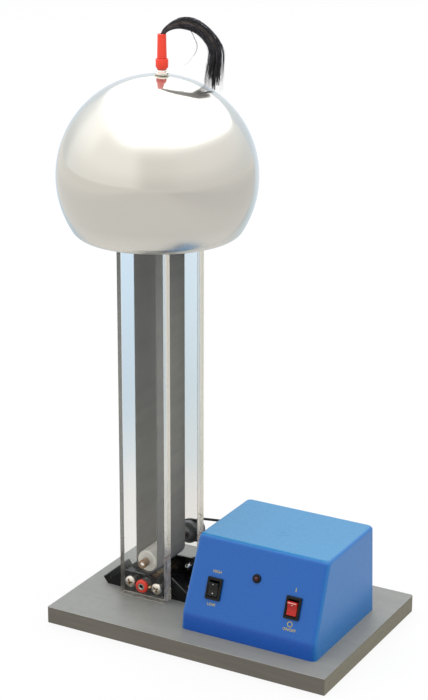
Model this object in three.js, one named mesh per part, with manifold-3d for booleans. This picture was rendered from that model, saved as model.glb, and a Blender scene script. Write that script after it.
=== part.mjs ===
// Motor driven belt electrostatic generator: a polished dome on two clear acrylic
// column plates, a rubber charging belt between two rollers, and a moulded housing
// with the motor and its controls, all on one laminate covered board.
// Millimetres, +Z up. The origin is the middle of the board's underside, -Y is the
// side with the control panel and +X runs from the column towards the housing.

import * as THREE from 'three';
import { mergeVertices } from 'three/addons/utils/BufferGeometryUtils.js';
import Module from 'manifold-3d';

const wasm = await Module();
wasm.setup();

// ---------------------------------------------------------------- dimensions
const BOARD = { x: 300, y: 200, t: 16.7, r: 2 };
const TOP = BOARD.t;

const AX = -78.7;                  // column axis, X
const AY = -0.3;                   // column axis, Y
const PLATE = { x0: -103.8, x1: -53.6, t: 13, yf: -39.3, yr: 38.7, top: 480 };
const YF1 = PLATE.yf + PLATE.t;    // rear face of the front plate
const YR0 = PLATE.yr - PLATE.t;    // front face of the rear plate

const LOWER_Z = 53.4;              // lower roller axis
const UPPER_Z = 449;               // upper roller axis
const ROLL = { r: 10.85, crown: 11.0, y0: AY - 24.2, y1: AY + 25.3 };
const SHAFT_R = 2.5;
const BUSH = { r: 4.1, hole: 4.4, bore: 2.8 };
const BELT = { ri: 11.3, t: 0.8, y0: AY - 23.4, y1: AY + 25.0 };

const BRACKET = {
  x0: -127, x1: -26.5, t: 2, y0: YF1 + 0.3, y1: YR0 - 0.3, h: 22.2, left: 23.5, right: 27.0, lip: 7,
};
const FLOOR_SCREW = { x: [-106.1, -47.1], y: 2.9 };
// plate screws, [x, z]: the right ones sit a little lower than the left ones
const SCREWS = { front: [[-91.85, 32.7], [-61.95, 31.3]], rear: [[-91.85, 32.7], [-60.45, 31.3]] };
const SOCKET_Z = 30.65;
const SOCKET_X = -78.5;

const HOUSE = {
  x0: -14.5, x1: 128.3, y0: -75.5, y1: 54.3, fold: 16.8, h: 89, r: 5, wall: 2.6,
  tx0: -10.0, tx1: 127.1, ty0: -47.7, ty1: 51.0,
};
const HOUSE_TOP = TOP + HOUSE.h;
const FOLD_Z = TOP + HOUSE.fold;

const ROCKER = { w: 15.7, l: 21.2, bodyW: 12.8, bodyL: 18.8, keyW: 9.9, keyL: 13.2, tilt: 10 };
const ROCKER_S = 29.1;             // up the panel from the fold
const ROCKER_X = [16.45, 99.55];
const LED = { x: 58.2, s: 47.7 };

const MOTOR = { x: 65.7, z: 75.7, r: 26, y0: -18, y1: 42.2 };
const DRIVE_Y = 62.2;              // plane of the round drive belt
const DRIVEN = { r: 11.6, groove: 9.7, belt: 11.3, y0: 54.2, y1: 66.6, hub: 48.7 };
const MPULLEY = { r: 6.9, groove: 3.6, belt: 5.2, y0: 56.7, y1: 66.6 };
const DRIVE_BELT_R = 1.3;

const DOME = { x: AX - 2.3, y: AY - 1.1, z: 434, R: 94.8, t: 1.5, flat: 57, rc: 16, lip: 4 };
const SOCK = { x: -76.7, y: 0.4 }; // the 4 mm socket on the dome's top
const DOME_TOP = DOME.z + DOME.R;

// ---------------------------------------------------------------- helpers
const rad = THREE.MathUtils.degToRad;

function toSolid(geometry) {
  const g = geometry.clone();
  for (const name of Object.keys(g.attributes)) if (name !== 'position') g.deleteAttribute(name);
  const m = mergeVertices(g, 1e-4);
  const pos = m.attributes.position.array;
  const src = m.index.array;
  const tri = [];
  for (let i = 0; i < src.length; i += 3) {
    const a = src[i], b = src[i + 1], c = src[i + 2];
    if (a !== b && b !== c && a !== c) tri.push(a, b, c);
  }
  let vol = 0;
  for (let i = 0; i < tri.length; i += 3) {
    const [a, b, c] = [tri[i] * 3, tri[i + 1] * 3, tri[i + 2] * 3];
    vol += pos[a] * (pos[b + 1] * pos[c + 2] - pos[b + 2] * pos[c + 1])
         - pos[a + 1] * (pos[b] * pos[c + 2] - pos[b + 2] * pos[c])
         + pos[a + 2] * (pos[b] * pos[c + 1] - pos[b + 1] * pos[c]);
  }
  if (vol < 0) for (let i = 0; i < tri.length; i += 3) [tri[i], tri[i + 1]] = [tri[i + 1], tri[i]];
  return new wasm.Manifold(new wasm.Mesh({
    numProp: 3, vertProperties: new Float32Array(pos), triVerts: new Uint32Array(tri),
  }));
}

function toGeometry(solid) {
  const m = solid.getMesh();
  const g = new THREE.BufferGeometry();
  g.setAttribute('position', new THREE.BufferAttribute(new Float32Array(m.vertProperties), 3));
  g.setIndex(new THREE.BufferAttribute(new Uint32Array(m.triVerts), 1));
  g.computeVertexNormals();
  return g;
}

// Joins and cuts: union of the first list, less every one of the second.
function carve(add, cut = []) {
  let s = toSolid(add[0]);
  for (const g of add.slice(1)) s = s.add(toSolid(g));
  for (const g of cut) s = s.subtract(toSolid(g));
  return toGeometry(s);
}
const plain = (g) => toGeometry(toSolid(g));

function box(x0, x1, y0, y1, z0, z1) {
  return new THREE.BoxGeometry(x1 - x0, y1 - y0, z1 - z0)
    .translate((x0 + x1) / 2, (y0 + y1) / 2, (z0 + z1) / 2);
}
function rodY(r, y0, y1, x, z, n = 24) {
  return new THREE.CylinderGeometry(r, r, y1 - y0, n).translate(x, (y0 + y1) / 2, z);
}
function rodZ(r, z0, z1, x, y, n = 24, rTop = r) {
  return new THREE.CylinderGeometry(rTop, r, z1 - z0, n).rotateX(Math.PI / 2).translate(x, y, (z0 + z1) / 2);
}
function rodX(r, x0, x1, y, z, n = 16) {
  return new THREE.CylinderGeometry(r, r, x1 - x0, n).rotateZ(Math.PI / 2).translate((x0 + x1) / 2, y, z);
}
// A turned piece: profile points [radius, height]. The lathe's axis is Y.
function turned(points, n = 32) {
  return new THREE.LatheGeometry(points.map(([r, h]) => new THREE.Vector2(r, h)), n);
}
const closed = (points) => [...points, points[0]];
const alongY = (g, x, z) => g.translate(x, 0, z);
const alongZ = (g, x, y) => g.rotateX(Math.PI / 2).translate(x, y, 0);

function roundedRect(x0, x1, y0, y1, r) {
  const s = new THREE.Shape();
  s.moveTo(x0 + r, y0);
  s.lineTo(x1 - r, y0); s.absarc(x1 - r, y0 + r, r, -Math.PI / 2, 0);
  s.lineTo(x1, y1 - r); s.absarc(x1 - r, y1 - r, r, 0, Math.PI / 2);
  s.lineTo(x0 + r, y1); s.absarc(x0 + r, y1 - r, r, Math.PI / 2, Math.PI);
  s.lineTo(x0, y0 + r); s.absarc(x0 + r, y0 + r, r, Math.PI, Math.PI * 1.5);
  return s;
}
function polygon(points) {
  const s = new THREE.Shape();
  points.forEach(([a, b], i) => (i ? s.lineTo(a, b) : s.moveTo(a, b)));
  s.closePath();
  return s;
}
function extrude(shape, depth, curveSegments = 5) {
  return new THREE.ExtrudeGeometry(shape, { depth, bevelEnabled: false, curveSegments });
}
// A shape drawn in X and Z, extruded along Y from y0 to y1.
function extrudeY(shape, y0, y1, curveSegments = 12) {
  return extrude(shape, y1 - y0, curveSegments).rotateX(Math.PI / 2).translate(0, y1, 0);
}
// A shape drawn in Y and Z, extruded along X from x0 to x1.
function extrudeX(shape, x0, x1, curveSegments = 8) {
  return extrude(shape, x1 - x0, curveSegments)
    .applyMatrix4(new THREE.Matrix4().makeBasis(
      new THREE.Vector3(0, 1, 0), new THREE.Vector3(0, 0, 1), new THREE.Vector3(1, 0, 0)))
    .translate(x0, 0, 0);
}

// ---------------------------------------------------------------- scene
const generator = new THREE.Group();
const mat = (color, roughness, metalness = 0, extra = {}) =>
  new THREE.MeshStandardMaterial({ color, roughness, metalness, ...extra });
const M = {
  board: mat(0x9a9c98, 0.55), abs: mat(0x3673bd, 0.4),
  acrylic: mat(0xf2f4f2, 0.08, 0, { transparent: true, opacity: 0.35 }),
  chrome: mat(0xdedede, 0.06, 1), nickel: mat(0xc8c6c0, 0.25, 1), steel: mat(0x9b9b9b, 0.35, 1),
  aluminium: mat(0xb9bbbd, 0.35, 1), brass: mat(0xb08d4c, 0.3, 1), blackPaint: mat(0x101112, 0.2),
  nylon: mat(0xece8df, 0.5), grey: mat(0x6a6c6e, 0.5), blackPlastic: mat(0x17181a, 0.4),
  rubber: mat(0x4a4d50, 0.75), cord: mat(0x131313, 0.6), red: mat(0xd8281f, 0.4),
  redKey: mat(0xc81e1c, 0.25), lens: mat(0x3c0d10, 0.15), hair: mat(0x241f1d, 0.6), pcb: mat(0x24633a, 0.5),
};
function piece(name, geometry, material, parent = generator) {
  const m = new THREE.Mesh(geometry, material);
  m.name = name;
  parent.add(m);
  return m;
}

// ---------------------------------------------------------------- board
const houseScrews = [[-4.8, -65.5], [118.7, -65.5], [-4.8, 43.7], [118.7, 43.7]];
{
  const outline = roundedRect(-BOARD.x / 2, BOARD.x / 2, -BOARD.y / 2, BOARD.y / 2, BOARD.r);
  const cuts = [];
  for (const [x, y] of houseScrews) {
    cuts.push(rodZ(2.1, -1, TOP + 1, x, y, 10), rodZ(4.2, -1, 3.6, x, y, 12));
  }
  for (const x of FLOOR_SCREW.x) cuts.push(rodZ(2.1, 4.4, TOP + 1, x, FLOOR_SCREW.y, 10));
  piece('baseboard', carve([extrude(outline, TOP, 3)], cuts), M.board);
}

// ---------------------------------------------------------------- housing
// Straight skirt, sloping panel in front, slight draft on the other walls, soft
// edges. A prism of unit height is drawn out level by level.
function housingBody(off, z0, zTop) {
  const n = 3;
  const levels = [];
  const at = (z) => {
    const k = Math.max(0, (z - TOP) / HOUSE.h);
    const f = Math.max(0, (z - FOLD_Z) / (HOUSE_TOP - FOLD_Z));
    return {
      x0: HOUSE.x0 + (HOUSE.tx0 - HOUSE.x0) * k, x1: HOUSE.x1 + (HOUSE.tx1 - HOUSE.x1) * k,
      y0: HOUSE.y0 + (HOUSE.ty0 - HOUSE.y0) * f, y1: HOUSE.y1 + (HOUSE.ty1 - HOUSE.y1) * k,
    };
  };
  const R = Math.max(1.5, 3.5 - off);
  levels.push([z0, 0], [FOLD_Z - 1, 0], [FOLD_Z + 1, 0]);
  for (let i = 0; i <= n; i++) {
    const a = (Math.PI / 2) * (i / n);
    levels.push([zTop - R + R * Math.sin(a), R * (1 - Math.cos(a))]);
  }
  const steps = levels.length - 1;
  const r = HOUSE.r - off;
  const base = at(TOP);
  const g = new THREE.ExtrudeGeometry(
    roundedRect(base.x0 + off, base.x1 - off, base.y0 + off, base.y1 - off, r),
    { depth: steps, steps, bevelEnabled: false, curveSegments: 4 });
  const p = g.attributes.position;
  for (let i = 0; i < p.count; i++) {
    const [z, inset] = levels[Math.round(p.getZ(i))];
    const e = at(z);
    const o = off + inset;
    const u = (p.getX(i) - base.x0 - off) / (base.x1 - base.x0 - 2 * off);
    const v = (p.getY(i) - base.y0 - off) / (base.y1 - base.y0 - 2 * off);
    p.setXYZ(i, e.x0 + o + u * (e.x1 - e.x0 - 2 * o), e.y0 + o + v * (e.y1 - e.y0 - 2 * o), z);
  }
  return g;
}

// The panel's own frame: x across, y up the slope from the fold, z out of it.
const slopeUp = new THREE.Vector3(0, HOUSE.ty0 - HOUSE.y0, HOUSE_TOP - FOLD_Z).normalize();
const slopeOut = new THREE.Vector3(0, -slopeUp.z, slopeUp.y);
function onPanel(x, s) {
  return new THREE.Matrix4().makeBasis(new THREE.Vector3(1, 0, 0), slopeUp, slopeOut)
    .setPosition(new THREE.Vector3(x, HOUSE.y0, FOLD_Z).addScaledVector(slopeUp, s));
}
// The back wall's own frame: x across, y up the wall, z out of it.
const backUp = new THREE.Vector3(0, HOUSE.ty1 - HOUSE.y1, HOUSE.h).normalize();
const backOut = new THREE.Vector3(0, backUp.z, -backUp.y);
function onBack(x, s) {
  return new THREE.Matrix4().makeBasis(new THREE.Vector3(-1, 0, 0), backUp, backOut)
    .setPosition(new THREE.Vector3(x, HOUSE.y1, TOP).addScaledVector(backUp, s));
}
const INLET = { x: 98, s: 24, w: 27, h: 19.6 };
{
  const cuts = [housingBody(HOUSE.wall, TOP - 1, HOUSE_TOP - HOUSE.wall)];
  for (const x of ROCKER_X) {
    const w = ROCKER.bodyW / 2 + 0.3, l = ROCKER.bodyL / 2 + 0.3;
    cuts.push(box(-w, w, -l, l, -8, 8).applyMatrix4(onPanel(x, ROCKER_S)));
  }
  cuts.push(rodZ(3.4, -8, 8, 0, 0, 20).applyMatrix4(onPanel(LED.x, LED.s)));
  cuts.push(box(-INLET.w / 2, INLET.w / 2, -INLET.h / 2, INLET.h / 2, -8, 8).applyMatrix4(onBack(INLET.x, INLET.s)));
  cuts.push(rodY(7, 40, 60, MOTOR.x, MOTOR.z, 16));
  let shell = toSolid(housingBody(0, TOP, HOUSE_TOP));
  for (const c of cuts) shell = shell.subtract(toSolid(c));
  // screw bosses in the four corners
  for (const [x, y] of houseScrews) {
    let b = toSolid(rodZ(4.6, TOP, 52, x, y, 10))
      .add(toSolid(box(x - (x > 50 ? 0 : 9), x + (x > 50 ? 9 : 0), y - 1.2, y + 1.2, TOP, 52)));
    b = b.intersect(toSolid(housingBody(1, TOP, HOUSE_TOP - 1)));
    shell = shell.add(b).subtract(toSolid(rodZ(2.0, TOP - 1, 36, x, y, 8)));
  }
  piece('housing_shell', toGeometry(shell), M.abs);
}

// ---------------------------------------------------------------- column plates
{
  const topHole = (y) => rodZ(2.1, PLATE.top - 16, PLATE.top + 1, AX, y, 12);
  const holes = (y0, y1, screws) => [
    rodY(BUSH.hole, y0 - 1, y1 + 1, AX, LOWER_Z, 20),
    rodY(BUSH.hole, y0 - 1, y1 + 1, AX, UPPER_Z, 14),
    ...screws.map(([x, z]) => rodY(2.7, y0 - 1, y1 + 1, x, z, 10)),
  ];
  const slab = (y0, y1) => {
    const c = 0.6;
    const s = polygon([[PLATE.x0 + c, y0], [PLATE.x1 - c, y0], [PLATE.x1, y0 + c], [PLATE.x1, y1 - c],
      [PLATE.x1 - c, y1], [PLATE.x0 + c, y1], [PLATE.x0, y1 - c], [PLATE.x0, y0 + c]]);
    return extrude(s, PLATE.top - TOP).translate(0, 0, TOP);
  };
  piece('front_column_plate', carve([slab(PLATE.yf, YF1)], [
    ...holes(PLATE.yf, YF1, SCREWS.front), topHole((PLATE.yf + YF1) / 2),
    rodY(4.8, PLATE.yf - 1, YF1 + 1, SOCKET_X, SOCKET_Z, 16),
  ]), M.acrylic);
  piece('rear_column_plate', carve([slab(YR0, PLATE.yr)], [
    ...holes(YR0, PLATE.yr, SCREWS.rear), topHole((PLATE.yr + YR0) / 2),
  ]), M.acrylic);
}

// ---------------------------------------------------------------- base bracket
// Folded sheet: a floor on the board, a trapezoid flange behind each plate and a
// turned up lip at each end.
{
  const B = BRACKET;
  const flange = polygon([[B.x0, TOP], [B.x1, TOP], [B.x1, TOP + 2], [B.x1 - B.right, TOP + B.h],
    [B.x0 + B.left, TOP + B.h], [B.x0, TOP + 2]]);
  const lip = (s, x) => polygon([[x, TOP], [x - s * 4.6, TOP + B.lip - 1], [x - s * 4.9, TOP + B.lip],
    [x - s * 3.0, TOP + B.lip + 0.5], [x + s * 1.4, TOP + B.t], [x + s * 1.7, TOP]]);
  const holes = [];
  for (const [x, z] of SCREWS.front) holes.push(rodY(2.7, B.y0 - 3, B.y0 + 3, x, z, 10));
  for (const [x, z] of SCREWS.rear) holes.push(rodY(2.7, B.y1 - 3, B.y1 + 3, x, z, 10));
  holes.push(rodY(6.2, B.y0 - 3, B.y0 + 3, SOCKET_X, SOCKET_Z, 14));
  for (const x of FLOOR_SCREW.x) holes.push(rodZ(2.2, TOP - 1, TOP + 4, x, FLOOR_SCREW.y, 12));
  piece('base_bracket', carve([
    box(B.x0, B.x1, B.y0, B.y1, TOP, TOP + B.t),
    extrudeY(flange, B.y0, B.y0 + B.t), extrudeY(flange, B.y1 - B.t, B.y1),
    extrudeY(lip(1, B.x0), B.y0, B.y1), extrudeY(lip(-1, B.x1), B.y0, B.y1),
  ], holes), M.blackPaint);
}

// ---------------------------------------------------------------- bushes
function bush(name, y0, y1, z, n) {
  piece(name, plain(alongY(turned(closed([[BUSH.bore, y0], [BUSH.r, y0], [BUSH.r, y1], [BUSH.bore, y1]]), n), AX, z)), M.brass);
}
bush('lower_front_bush', PLATE.yf, YF1, LOWER_Z, 20);
bush('lower_rear_bush', YR0, PLATE.yr, LOWER_Z, 20);
bush('upper_front_bush', PLATE.yf, YF1, UPPER_Z, 14);
bush('upper_rear_bush', YR0, PLATE.yr, UPPER_Z, 14);

// ---------------------------------------------------------------- plate screws and nuts
function panScrew(name, x, z, face, dir, material) {
  // dir -1: head in front of a face that looks along -Y; +1: behind a face along +Y
  const d = (v) => face + dir * v;
  const head = turned([[0, d(0.3)], [5.6, d(0.3)], [5.7, d(1.4)], [4.6, d(2.7)], [2.6, d(3.3)], [0, d(3.4)]], 16);
  const shank = turned([[0, d(0.5)], [2.2, d(0.5)], [2.2, d(-20.0)], [1.7, d(-20.6)], [0, d(-20.6)]], 10);
  const slot = box(-3.2, 3.2, d(2.0), d(4), -0.55, 0.55);
  const slot2 = box(-0.55, 0.55, d(2.0), d(4), -3.2, 3.2);
  piece(name, carve([alongY(head, x, z), alongY(shank, x, z)], [slot, slot2].map((g) => g.rotateY(rad(24)).translate(x, 0, z))), material);
}
function acornNut(name, x, z, face, dir) {
  // sits on a flange's inner face and points along dir
  const d = (v) => face + dir * v;
  const hex = new THREE.CylinderGeometry(4.3, 4.3, 3.4, 6).translate(x, d(2.0), z);
  const cap = alongY(turned([[0, d(2.5)], [3.6, d(2.5)], [3.5, d(4.6)], [2.5, d(6.5)], [1.1, d(7.4)], [0, d(7.5)]], 14), x, z);
  const bore = rodY(2.6, Math.min(d(0), d(5.7)), Math.max(d(0), d(5.7)), x, z, 10);
  piece(name, carve([hex, cap], [bore]), M.nickel);
}
for (const [i, side] of ['left', 'right'].entries()) {
  panScrew(`front_plate_screw_${side}`, ...SCREWS.front[i], PLATE.yf, -1, M.nickel);
  acornNut(`front_flange_nut_${side}`, ...SCREWS.front[i], BRACKET.y0 + BRACKET.t, 1);
  panScrew(`rear_plate_screw_${side}`, ...SCREWS.rear[i], PLATE.yr, 1, M.nickel);
  acornNut(`rear_flange_nut_${side}`, ...SCREWS.rear[i], BRACKET.y1 - BRACKET.t, -1);
}
for (const [side, x] of [['left', FLOOR_SCREW.x[0]], ['right', FLOOR_SCREW.x[1]]]) {
  const y = FLOOR_SCREW.y;
  const z = TOP + BRACKET.t + 0.3;
  const body = turned([[0, z - 14], [1.8, z - 13], [1.8, z], [4.2, z], [4.2, z + 1.0], [3.1, z + 2.2], [0, z + 2.6]], 14);
  piece(`bracket_screw_${side}`, carve([alongZ(body, x, y)], [
    box(x - 2.4, x + 2.4, y - 0.45, y + 0.45, z + 1.4, z + 4), box(x - 0.45, x + 0.45, y - 2.4, y + 2.4, z + 1.4, z + 4),
  ]), M.brass);
}

// ---------------------------------------------------------------- earth socket and lower comb
{
  const f = PLATE.yf;
  piece('earth_socket_ring', plain(alongY(turned(closed([
    [3.75, f - 3.0], [5.7, f - 3.0], [6.6, f - 2.4], [6.7, f - 0.3], [4.5, f - 0.3], [4.5, YF1 + 3.2], [3.75, YF1 + 3.2],
  ]), 20), SOCKET_X, SOCKET_Z)), M.red);
  piece('earth_socket_contact', plain(alongY(turned(closed([
    [2.0, f - 2.7], [3.5, f - 2.7], [3.5, AY - 17.3], [2.0, AY - 17.3],
  ]), 24), SOCKET_X, SOCKET_Z)), M.nickel);

  // strip with its foot on the bracket's floor and a saw-tooth blade under the belt
  const z0 = TOP + BRACKET.t + 0.3;
  const c0 = AY - 17, c1 = AY + 17;
  const pts = [[c0, z0], [c1, z0], [c1, z0 + 10]];
  const n = 12, w = (c1 - c0) / n;
  for (let i = 0; i < n; i++) pts.push([c1 - w * (i + 0.5), z0 + 14.8], [c1 - w * (i + 1), z0 + 10]);
  piece('lower_comb', carve([
    extrudeX(polygon(pts), AX - 0.45, AX + 0.45),
    box(AX - 10, AX + 0.45, c0, c1, z0, z0 + 0.9),
  ]), M.brass);
}

// ---------------------------------------------------------------- top of the column
{
  const z = PLATE.top + 0.3;
  const cuts = [];
  for (const y of [(PLATE.yf + YF1) / 2, (YR0 + PLATE.yr) / 2]) cuts.push(rodZ(2.4, z - 1, z + 8, AX, y, 12));
  cuts.push(rodZ(9, z - 1, z + 8, DOME.x, DOME.y, 24));
  piece('top_bridge', carve([box(PLATE.x0, PLATE.x1, PLATE.yf, PLATE.yr, z, z + 6)], cuts), M.aluminium);

  const screw = (name, y) => {
    const h = z + 6.3;
    piece(name, plain(alongZ(turned([[0, h - 19], [1.7, h - 18.4], [1.7, h], [3.6, h], [3.6, h + 1], [2.6, h + 2.2], [0, h + 2.5]], 14), AX, y)), M.steel);
  };
  screw('top_screw_front', (PLATE.yf + YF1) / 2);
  screw('top_screw_rear', (YR0 + PLATE.yr) / 2);

  // the dome rests on this dish: a hollow stem and a flared rim
  const s = z + 6.3;
  piece('dome_seat', plain(alongZ(turned(closed([
    [9, s], [16, s], [16, s + 3], [12, s + 4], [12, 505], [32, 515.5], [34, 517.2], [34, 520.0],
    [33, 520.9], [31.5, 520.2], [12, 510], [9, 508.5],
  ]), 24), DOME.x, DOME.y)), M.aluminium);

  // toothed brass strip beside the upper roller, hanging from the bridge
  const tips = AX + BELT.ri + BELT.t + 1.6;
  const teeth = [];
  const c0 = AY - 17, c1 = AY + 17;
  const n = 12, w = (c1 - c0) / n;
  teeth.push([tips + 11, c0], [tips + 11, c1], [tips + 5, c1]);
  for (let i = 0; i < n; i++) teeth.push([tips, c1 - w * (i + 0.5)], [tips + 5, c1 - w * (i + 1)]);
  piece('upper_comb', carve([
    extrude(polygon(teeth), 0.9).translate(0, 0, UPPER_Z),
    box(tips + 10.1, tips + 11, c0, c1, UPPER_Z, PLATE.top),
    box(tips + 1, tips + 11, c0, c1, PLATE.top - 0.9, PLATE.top),
  ]), M.brass);
}

// ---------------------------------------------------------------- belts
function beltLoop(cx0, cz0, r0, cx1, cz1, r1, segs) {
  // outline of an open belt round two circles, anticlockwise in X and Z
  const dx = cx1 - cx0, dz = cz1 - cz0;
  const d = Math.hypot(dx, dz);
  const phi = Math.atan2(dz, dx);
  const beta = Math.acos((r0 - r1) / d);
  const pts = [];
  for (let i = 0; i <= segs; i++) {
    const a = phi + beta + (2 * Math.PI - 2 * beta) * (i / segs);
    pts.push([cx0 + r0 * Math.cos(a), cz0 + r0 * Math.sin(a)]);
  }
  for (let i = 0; i <= segs; i++) {
    const a = phi - beta + 2 * beta * (i / segs);
    pts.push([cx1 + r1 * Math.cos(a), cz1 + r1 * Math.sin(a)]);
  }
  return pts;
}
{
  const outer = polygon(beltLoop(AX, LOWER_Z, BELT.ri + BELT.t, AX, UPPER_Z, BELT.ri + BELT.t, 14));
  outer.holes.push(polygon(beltLoop(AX, LOWER_Z, BELT.ri, AX, UPPER_Z, BELT.ri, 14)));
  piece('charging_belt', plain(extrudeY(outer, BELT.y0, BELT.y1)), M.rubber);

  // round drive belt: a torus whose ring is laid along the path
  const path = beltLoop(AX, LOWER_Z, DRIVEN.belt, MOTOR.x, MOTOR.z, MPULLEY.belt, 15);
  const N = path.length;
  const g = new THREE.TorusGeometry(10, DRIVE_BELT_R, 8, N);
  const p = g.attributes.position;
  for (let i = 0; i < p.count; i++) {
    const a = Math.atan2(p.getY(i), p.getX(i));
    const k = ((Math.round((a / (2 * Math.PI)) * N) % N) + N) % N;
    const out = Math.hypot(p.getX(i), p.getY(i)) - 10;
    const [x, z] = path[k];
    const [xa, za] = path[(k + N - 1) % N], [xb, zb] = path[(k + 1) % N];
    const t = new THREE.Vector2(xb - xa, zb - za).normalize();
    p.setXYZ(i, x + t.y * out, DRIVE_Y + p.getZ(i), z - t.x * out);
  }
  piece('drive_belt', plain(g), M.cord);
}

// ---------------------------------------------------------------- lower roller
const lowerRoller = new THREE.Group();
lowerRoller.position.set(AX, AY, LOWER_Z);
generator.add(lowerRoller);
{
  const y0 = ROLL.y0 - AY, y1 = ROLL.y1 - AY;
  piece('lower_roller_drum', plain(turned(closed([
    [2.8, y0], [ROLL.r - 0.8, y0], [ROLL.r, y0 + 0.8], [ROLL.crown, 0], [ROLL.r, y1 - 0.8], [ROLL.r - 0.8, y1], [2.8, y1],
  ]), 28)), M.nylon, lowerRoller);
  const s0 = PLATE.yf + 0.4 - AY, s1 = DRIVEN.y1 + 1.4 - AY;
  piece('lower_roller_shaft', plain(turned([[0, s0], [2.1, s0], [SHAFT_R, s0 + 0.4], [SHAFT_R, s1 - 0.4], [2.1, s1], [0, s1]], 24)), M.steel, lowerRoller);
  const g0 = DRIVE_Y - AY - 1.5, g1 = DRIVE_Y - AY + 1.5;
  piece('driven_pulley', plain(turned(closed([
    [2.8, DRIVEN.hub - AY], [6, DRIVEN.hub - AY], [6.3, DRIVEN.y0 - AY], [DRIVEN.r - 0.6, DRIVEN.y0 - AY], [DRIVEN.r, DRIVEN.y0 + 0.6 - AY],
    [DRIVEN.r, g0 - 0.2], [DRIVEN.groove, g0 + 0.2], [DRIVEN.groove, g1 - 0.2], [DRIVEN.r, g1 + 0.2],
    [DRIVEN.r, DRIVEN.y1 - 0.6 - AY], [DRIVEN.r - 0.6, DRIVEN.y1 - AY], [9.2, DRIVEN.y1 - AY], [8.6, DRIVEN.y1 - 1.6 - AY],
    [5.4, DRIVEN.y1 - 1.6 - AY], [5, DRIVEN.y1 - AY], [2.8, DRIVEN.y1 - AY],
  ]), 24)), M.blackPlastic, lowerRoller);
}

// ---------------------------------------------------------------- upper roller
const upperRoller = new THREE.Group();
upperRoller.position.set(AX, AY, UPPER_Z);
generator.add(upperRoller);
{
  const y0 = ROLL.y0 - AY, y1 = ROLL.y1 - AY;
  piece('upper_roller_drum', plain(turned(closed([
    [2.8, y0], [ROLL.r - 0.8, y0], [ROLL.r, y0 + 0.8], [ROLL.crown, 0], [ROLL.r, y1 - 0.8], [ROLL.r - 0.8, y1], [2.8, y1],
  ]), 24)), M.grey, upperRoller);
  const s0 = PLATE.yf + 0.4 - AY, s1 = PLATE.yr - 0.4 - AY;
  piece('upper_roller_shaft', plain(turned([[0, s0], [SHAFT_R, s0], [SHAFT_R, s1], [0, s1]], 20)), M.steel, upperRoller);
}

// ---------------------------------------------------------------- motor
{
  const g0 = MOTOR.y0, g1 = MOTOR.y1;
  const can = turned([[0, g0 - 4], [7, g0 - 4], [7, g0], [MOTOR.r - 2, g0], [MOTOR.r, g0 + 2], [MOTOR.r, g1 - 2],
    [MOTOR.r - 2, g1], [0, g1]], 28);
  piece('motor_body', carve([alongY(can, MOTOR.x, MOTOR.z)], [rodY(2.4, 24, 60, MOTOR.x, MOTOR.z, 16)]), M.steel);
  piece('motor_bracket', carve([
    box(MOTOR.x - 18.5, MOTOR.x + 18.5, g1 + 0.3, g1 + 2.3, TOP, MOTOR.z + 27),
    box(MOTOR.x - 18.5, MOTOR.x + 18.5, 18, g1 + 2.3, TOP, TOP + 2),
  ], [rodY(8, 40, 50, MOTOR.x, MOTOR.z, 24)]), M.steel);
  const rotor = new THREE.Group();
  rotor.position.set(MOTOR.x, AY, MOTOR.z);
  generator.add(rotor);
  piece('motor_shaft', plain(turned([[0, 25 - AY], [2, 25 - AY], [2, MPULLEY.y1 + 1 - AY], [0, MPULLEY.y1 + 1 - AY]], 20)), M.steel, rotor);
  const q0 = DRIVE_Y - AY - 1.5, q1 = DRIVE_Y - AY + 1.5;
  piece('motor_pulley', plain(turned(closed([
    [2.3, MPULLEY.y0 - AY - 6], [5, MPULLEY.y0 - AY - 6], [5, MPULLEY.y0 - AY], [MPULLEY.r, MPULLEY.y0 - AY + 0.6], [MPULLEY.r, q0 - 0.2],
    [MPULLEY.groove, q0 + 0.2], [MPULLEY.groove, q1 - 0.2], [MPULLEY.r, q1 + 0.2], [MPULLEY.r, MPULLEY.y1 - AY], [2.3, MPULLEY.y1 - AY],
  ]), 20)), M.brass, rotor);
}

// ---------------------------------------------------------------- control board
{
  const z = 25;
  const at = [[3, -34], [45, 9]];
  const cuts = at.map(([x, y]) => rodZ(1.9, z - 1, z + 3, x, y, 12));
  piece('control_board', carve([
    box(-2, 50, -40, 15, z, z + 1.6),
    rodZ(6, z, z + 15, 12, -22, 20), box(28, 44, -34, -16, z, z + 12), box(6, 20, -6, 8, z, z + 8),
  ], cuts), M.pcb);
  at.forEach(([x, y], i) => piece(i ? 'board_spacer_right' : 'board_spacer_left', plain(alongZ(turned(
    [[0, TOP], [3.2, TOP], [3.2, z - 0.3], [1.5, z - 0.3], [1.5, z + 2.2], [0, z + 2.2]], 10), x, y)), M.nylon));
}

// ---------------------------------------------------------------- mains inlet
{
  const m = onBack(INLET.x, INLET.s);
  const w = INLET.w / 2 - 0.3, h = INLET.h / 2 - 0.3;
  const flange = extrude(roundedRect(-15.5, 15.5, -12, 12, 2), 2.2, 3).translate(0, 0, 0.3);
  const recess = polygon([[-11.7, -7.8], [11.7, -7.8], [11.7, 3.6], [7.6, 7.8], [-7.6, 7.8], [-11.7, 3.6]]);
  const pinHole = (x, y) => box(x - 1.3, x + 1.3, y - 2.3, y + 2.3, -17.5, -13);
  piece('mains_inlet', carve([flange, box(-w, w, -h, h, -17, 0.6)], [
    extrude(recess, 20).translate(0, 0, -14), pinHole(-7, -2), pinHole(7, -2), pinHole(0, 3),
  ]).applyMatrix4(m), M.blackPlastic);
  for (const [name, x, y] of [['inlet_pin_left', -7, -2], ['inlet_pin_right', 7, -2], ['inlet_pin_earth', 0, 3]]) {
    piece(name, plain(box(x - 1, x + 1, y - 2, y + 2, -21, -1.5)).applyMatrix4(m), M.nickel);
  }
}

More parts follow.
